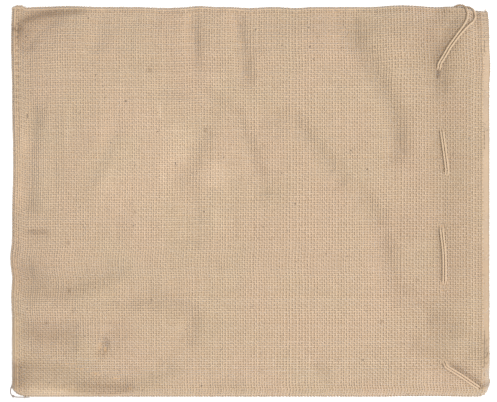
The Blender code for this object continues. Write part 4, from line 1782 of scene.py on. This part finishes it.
class BAG_OT_threads(Operator):
    """Weave the lengthwise and the crosswise threads of both layers"""

    bl_idname = "bag.threads"
    bl_label = "Threads"

    def execute(self, context):
        cloth, _, colours, _ = settings(context)
        tree = thread_tree()
        jute = (colours.dark, colours.light, colours)
        material = jute_material("hessian_threads", *jute, bump=0.6, has_tone=True)
        along = spaced(cloth.threads_along, END_X, MOUTH_X, SPACING_GROWTH, cloth.uneven, SPACING_SEEDS[0])
        across = spaced(cloth.threads_across, FOLD_Y, SEAM_Y, 0.0, cloth.uneven, SPACING_SEEDS[1])
        woven = []
        parity = 1 - 2 * (np.add.outer(np.arange(cloth.threads_across), np.arange(cloth.threads_along)) % 2)
        for layer, outward in (("front", 1.0), ("back", -1.0)):
            u, v = np.meshgrid(np.concatenate([[END_X], along, [MOUTH_X]]), across)
            lines = woven_point(u, v, layer)
            turn = []
            for on, deep in MOUTH_TURN:
                point = lines[:, -1:].copy()
                point[..., 0] += on * MM
                point[..., 2] -= outward * deep * MM
                turn.append(point)
            lines = np.concatenate([lines, *turn], axis=1)
            over = np.pad(parity, ((0, 0), (1, 1 + len(MOUTH_TURN)))) * wave_left(lines)
            name = f"{layer}_lengthwise"
            woven.append(weave(tree, material, cloth, name, lines, over, across, outward))
            v, u = np.meshgrid(np.concatenate([[FOLD_Y], across, [SEAM_Y]]), along)
            lines = woven_point(u, v, layer)
            over = np.pad(-parity.T, ((0, 0), (1, 1))) * wave_left(lines)
            name = f"{layer}_crosswise"
            woven.append(weave(tree, material, cloth, name, lines, over, along, outward))
        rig.sheet(bpy.data.objects[SHEET], flat=CUT, held="laid", with_pieces=woven)
        return {"FINISHED"}


class BAG_OT_drawcord(Operator):
    """Lay the two strands of the drawcord"""

    bl_idname = "bag.drawcord"
    bl_label = "Drawcord"

    def execute(self, context):
        _, cord, colours, _ = settings(context)
        twine = (colours.twine_dark, colours.twine_light)
        material = jute_material("drawcord_twine", *twine, colours, bump=0.9, has_tone=True)
        tree = twine_tree()
        for name, (side, arc) in STRANDS.items():
            path = path_of(strand_points(side, arc), STRAND_STEPS)
            length = length_of(path)
            # The strands take painted shade where they go over the seam edge
            over_edge = smooth((np.array(path)[:, 1] / MM - SEAM_Y + CORD_SHADE_FROM) / CORD_SHADE_FROM)
            tone = 1 - CORD_SHADE * over_edge
            piece = grow(guide(name + "_twine", [path], girth=1.0, tone=tone), tree, {
                "Plies": cord.plies,
                "Ply radius": PLY_THICK * TWINE * MM,
                "Ply offset": PLY_APART * TWINE * MM,
                "Turn length": cord.turn,
                "Material": material,
            })
            faced(piece, "twine", name)
            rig.cord(
                piece, exit=path[0], length=length, diameter=TWINE * MM, far_end="object", stiffness="limp",
                lay="loose", path=path,
            )
        return {"FINISHED"}


class BAG_OT_tail(Operator):
    """Curl the loose seam thread round the corner of the fold, with its knot"""

    bl_idname = "bag.tail"
    bl_label = "Seam thread"

    def execute(self, context):
        _, cord, colours, _ = settings(context)
        thread = (colours.thread_dark, colours.thread_light)
        material = jute_material("seam_thread", *thread, colours, bump=0.9)
        tree = twine_tree()
        plies = {
            "Plies": cord.plies,
            "Ply radius": PLY_THICK * THREAD * MM,
            "Ply offset": PLY_APART * THREAD * MM,
            "Turn length": cord.turn / 2,
            "Step": TAIL_STEP * MM,
            "Material": material,
        }
        path = path_of(TAIL_ROUTE, TAIL_STEPS)
        length = length_of(path)
        girth = np.interp(np.linspace(0.0, 1.0, len(path)), *zip(*TAIL_THIN))
        loop = grow(guide("seam_thread_loop", [path], girth=girth), tree, plies)
        tail = faced(loop, "seam_thread", "seam_thread_tail")
        t = np.linspace(0, 2 * math.pi, KNOT_STEPS)
        loops = np.stack([
            np.sin(t) + 2 * np.sin(2 * t), np.cos(t) - 2 * np.cos(2 * t), -KNOT_FLAT * np.sin(3 * t),
        ], axis=-1) * KNOT_SIZE + KNOT
        knot = faced(grow(guide("seam_thread_knot", [loops * MM], girth=1.0), tree, plies), "seam_thread")
        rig.cord(
            tail, exit=path[0], length=length, diameter=THREAD * MM, far_end="object", stiffness="limp",
            lay="loose", path=path, with_pieces=[knot],
        )
        return {"FINISHED"}


class BAG_OT_stitches(Operator):
    """Sew the hem's and the end seam's rows of stitches on both layers"""

    bl_idname = "bag.stitches"
    bl_label = "Stitches"

    def execute(self, context):
        *_, colours, _ = settings(context)
        jute = (colours.dark, colours.light, colours)
        material = jute_material("stitch_thread", *jute, bump=0.6, has_tone=True)
        tree = stitch_tree()
        y = np.linspace(STITCHED_FROM, STITCHED_TO, int(WIDTH / STITCHED_CELL))
        rows = (("hem_stitches", mouth_edge(y), -1, HEM_STITCH), ("end_stitches", end_edge(y), 1, END_STITCH))
        for name, edge, inward, (pitch, long, thick, inside, pit) in rows:
            for layer, outward, deep in (("front", 1.0, STITCH_DEEP), ("back", -1.0, STITCH_DEEP_BACK)):
                line = under_face(edge + inward * inside, y, layer, deep)
                piece = grow(guide(f"{layer}_{name}", [line]), tree, {
                    "Pitch": pitch * MM,
                    "Length": long * MM,
                    "Radius": thick * MM,
                    "Rise": (STITCH_RISE if outward > 0 else 0.0) * MM,
                    "Outward": outward,
                    "Pit tone": pit,
                    "Material": material,
                })
                faced(piece, "hessian")
        return {"FINISHED"}


def fibre_shares():
    return np.linspace(0.0, 1.0, FIBRE_STEPS)


def fibre_lines(x, y, way, bend, reach, height):
    """Lines from places in a plane, each on its own bending heading, with a height at each of its steps."""
    share = fibre_shares()
    angle = way[:, None] + bend[:, None] * share
    far = reach[:, None] * share
    return np.stack([x[:, None] + np.cos(angle) * far, y[:, None] + np.sin(angle) * far, height], axis=-1)


def sloped(root, tip):
    """The heights of fibres from their roots to their tips."""
    return root[:, None] * (1 - fibre_shares()) + tip[:, None] * fibre_shares()


def face_fibres(rng, count, layer):
    """Fibres that lie over a layer's outer face, half of them with a free end that stands up from it."""
    x, y = (rng.uniform(*ends, count) for ends in FACE_FROM)
    way, bend = rng.uniform(0, 2 * math.pi, count), rng.normal(0, FACE_BEND, count)
    lines = fibre_lines(x, y, way, bend, rng.uniform(*FACE_LONG, count), np.zeros((count, FIBRE_STEPS)))
    for axis, ends in enumerate(FACE_WITHIN):
        lines[..., axis] = np.clip(lines[..., axis], *ends)
    face, out = outer_face(lines[..., 0], lines[..., 1], layer)
    free = (rng.random(count) < FACE_FREE)[:, None]
    arch = np.where(free, fibre_shares(), np.sin(fibre_shares() * math.pi))
    high = rng.uniform(*FRONT_HIGH, count)[:, None] if layer == "front" else BACK_HIGH
    lines[..., 2] = face - out * FIBRE_ROOT + out * arch * high
    return lines


def edge_fibres(rng, count):
    """Fibres that stand out from the four edges."""
    place_on = rng.uniform(0, 2 * LENGTH + 2 * WIDTH, count)
    legs = (LENGTH, 2 * LENGTH, 2 * LENGTH + WIDTH)
    side = np.searchsorted(legs, place_on)
    done = place_on - np.array((0.0, *legs))[side]
    u = np.choose(side, (END_X + done, END_X + done, END_X, MOUTH_X))
    v = np.choose(side, (FOLD_Y, SEAM_Y, FOLD_Y + done, FOLD_Y + done))
    x, y = place(u, v, EDGE_IN)
    out = np.choose(side, (-math.pi / 2, math.pi / 2, math.pi, 0.0))
    way = out + rng.uniform(-EDGE_WAY, EDGE_WAY, count)
    reach = rng.uniform(*EDGE_LONG, count) + EDGE_LONGER * rng.random(count) ** EDGE_FEW
    height = sloped(rng.uniform(*EDGE_ROOT, count), rng.uniform(*EDGE_TIP, count))
    return fibre_lines(x, y, way, rng.normal(0, EDGE_BEND, count), reach, height)


def cord_fibres(rng, count, path):
    """Fibres that stand out from a strand, most of them along it."""
    points = np.array(path) / MM
    at = rng.integers(1, len(points) - 1, count)
    tangent = points[at + 1] - points[at - 1]
    tangent /= np.linalg.norm(tangent, axis=1)[:, None]
    outward = np.cross(tangent, rng.normal(0, 1, (count, 3)))
    outward /= np.linalg.norm(outward, axis=1)[:, None]
    root = points[at] + outward * TWINE * CORD_ROOT
    share = fibre_shares()[None, :, None]
    reach = rng.uniform(*CORD_LONG, count)[:, None, None]
    lean = rng.uniform(*CORD_LEAN, count)[:, None, None]
    lines = root[:, None] + reach * share * (tangent[:, None] + outward[:, None] * lean * share)
    lines[..., 2] = np.maximum(lines[..., 2], CORD_LOWEST)
    return lines


def yarn_ends():
    x, y, way, reach, root, tip = np.array(YARN_ENDS).T
    return fibre_lines(x, y, np.radians(way), np.full(len(x), YARN_BEND), reach, sloped(root, tip))


class BAG_OT_fibres(Operator):
    """Raise loose fibres on the cloth, its edges and the cord, and fray a few yarn ends"""

    bl_idname = "bag.fibres"
    bl_label = "Loose fibres"

    def execute(self, context):
        _, _, colours, _ = settings(context)
        material = jute_material("loose_fibres", colours.dark, colours.light, colours, bump=0.3)
        tree = fibre_tree()
        rng = np.random.default_rng(FIBRE_SEED)
        strands = [path_of(strand_points(*strand), STRAND_STEPS) for strand in STRANDS.values()]
        fibres = {
            "front_fibres": face_fibres(rng, FIBRES_FRONT, "front"),
            "back_fibres": face_fibres(rng, FIBRES_BACK, "back"),
            "edge_fibres": edge_fibres(rng, FIBRES_EDGE),
            "cord_fibres": np.concatenate([cord_fibres(rng, FIBRES_CORD, path) for path in strands]),
            "frayed_yarn_ends": yarn_ends(),
        }
        for name, lines in fibres.items():
            thick, curl = FIBRE_SIZES[name]
            number = np.arange(len(lines))[:, None]
            piece = grow(guide(name, lines * MM, fibre=number), tree, {
                "Radius": thick * MM,
                "Curl": curl * MM,
                "Material": material,
            })
            faced(piece, "twine" if name == "cord_fibres" else "hessian")
        return {"FINISHED"}


# Half the floor's width, in metres
FLOOR_HALF = 3.0

# Where the large soft box stands, far enough away to light both ends of the bag alike, and how wide it is
KEY_PLACE = (1.35, -0.5, 3.6)
KEY_SIZE = 2.4

# The photograph's frame: millimetres to a pixel, its width in pixels, and the point at its middle
VIEW_SCALE = 1.25
VIEW_WIDE = 497
VIEW_X = -1.9
VIEW_Y = 1.25
VIEW_LEVEL = 10.0


def camera_height(data):
    return (VIEW_SCALE * VIEW_WIDE * data.lens / data.sensor_width + VIEW_LEVEL) * MM


class BAG_OT_stage(Operator):
    """Set the pale floor, the soft light and the camera straight above the bag"""

    bl_idname = "bag.stage"
    bl_label = "Stage"

    def execute(self, context):
        *_, stage = settings(context)
        mesh = bpy.data.meshes.new("floor")
        corners = [(x * FLOOR_HALF, y * FLOOR_HALF, 0) for x, y in ((-1, -1), (1, -1), (1, 1), (-1, 1))]
        mesh.from_pydata(corners, [], [(0, 1, 2, 3)])
        floor = linked("floor", mesh)
        material, _, shader = new_material("floor_paper", roughness=0.9, sheen=0.0)
        shader.inputs["Base Color"].default_value = stage.floor
        mesh.materials.append(material)
        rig.stage(floor)
        world = bpy.data.worlds.new("studio")
        world.use_nodes = True
        world.node_tree.nodes["Background"].inputs["Color"].default_value = (1.0, 1.0, 1.0, 1.0)
        world.node_tree.nodes["Background"].inputs["Strength"].default_value = stage.fill
        context.scene.world = world
        lamp = bpy.data.lights.new("key", "AREA")
        lamp.energy = stage.key
        lamp.size = KEY_SIZE
        key = linked("key", lamp)
        key.location = KEY_PLACE
        key.rotation_euler = (-key.location).to_track_quat("-Z", "Y").to_euler()
        data = bpy.data.cameras.new("camera")
        data.lens = stage.lens
        camera = linked("camera", data)
        camera.location = (VIEW_X * MM, VIEW_Y * MM, camera_height(data))
        context.scene.camera = camera
        context.scene.view_settings.view_transform = "Standard"
        return {"FINISHED"}


class BAG_PT_panel(Panel):
    """Lists the bag's pieces and their settings"""

    bl_idname = "BAG_PT_panel"
    bl_label = "Jute bag"
    bl_space_type = "VIEW_3D"
    bl_region_type = "UI"
    bl_category = "Jute bag"

    def draw(self, context):
        for group in settings(context):
            box = self.layout.box()
            for name in group.__annotations__:
                box.prop(group, name)
        for piece in OPERATORS:
            self.layout.operator(piece.bl_idname)


GROUPS = {
    "bag_cloth": ClothSettings,
    "bag_cord": CordSettings,
    "bag_colours": ColourSettings,
    "bag_stage": StageSettings,
}
OPERATORS = (
    BAG_OT_stage, BAG_OT_drawcord, BAG_OT_tail, BAG_OT_ground, BAG_OT_threads, BAG_OT_stitches, BAG_OT_fibres,
)
CLASSES = (*GROUPS.values(), *OPERATORS, BAG_PT_panel)


def register():
    for made in CLASSES:
        bpy.utils.register_class(made)
    for name, group in GROUPS.items():
        setattr(bpy.types.Scene, name, PointerProperty(type=group))


def unregister():
    for name in GROUPS:
        delattr(bpy.types.Scene, name)
    for made in reversed(CLASSES):
        bpy.utils.unregister_class(made)


def main():
    register()
    bpy.ops.bag.stage()
    bpy.ops.bag.drawcord()
    bpy.ops.bag.tail()
    bpy.ops.bag.ground()
    bpy.ops.bag.threads()
    bpy.ops.bag.stitches()
    bpy.ops.bag.fibres()
    sizes = {"cad": [list(at) for at in CAD_BOX], "visual": [list(at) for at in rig.bounds()]}
    with open(SIZE_FILE, "w") as file:
        json.dump(sizes, file)


if __name__ == "__main__":
    main()
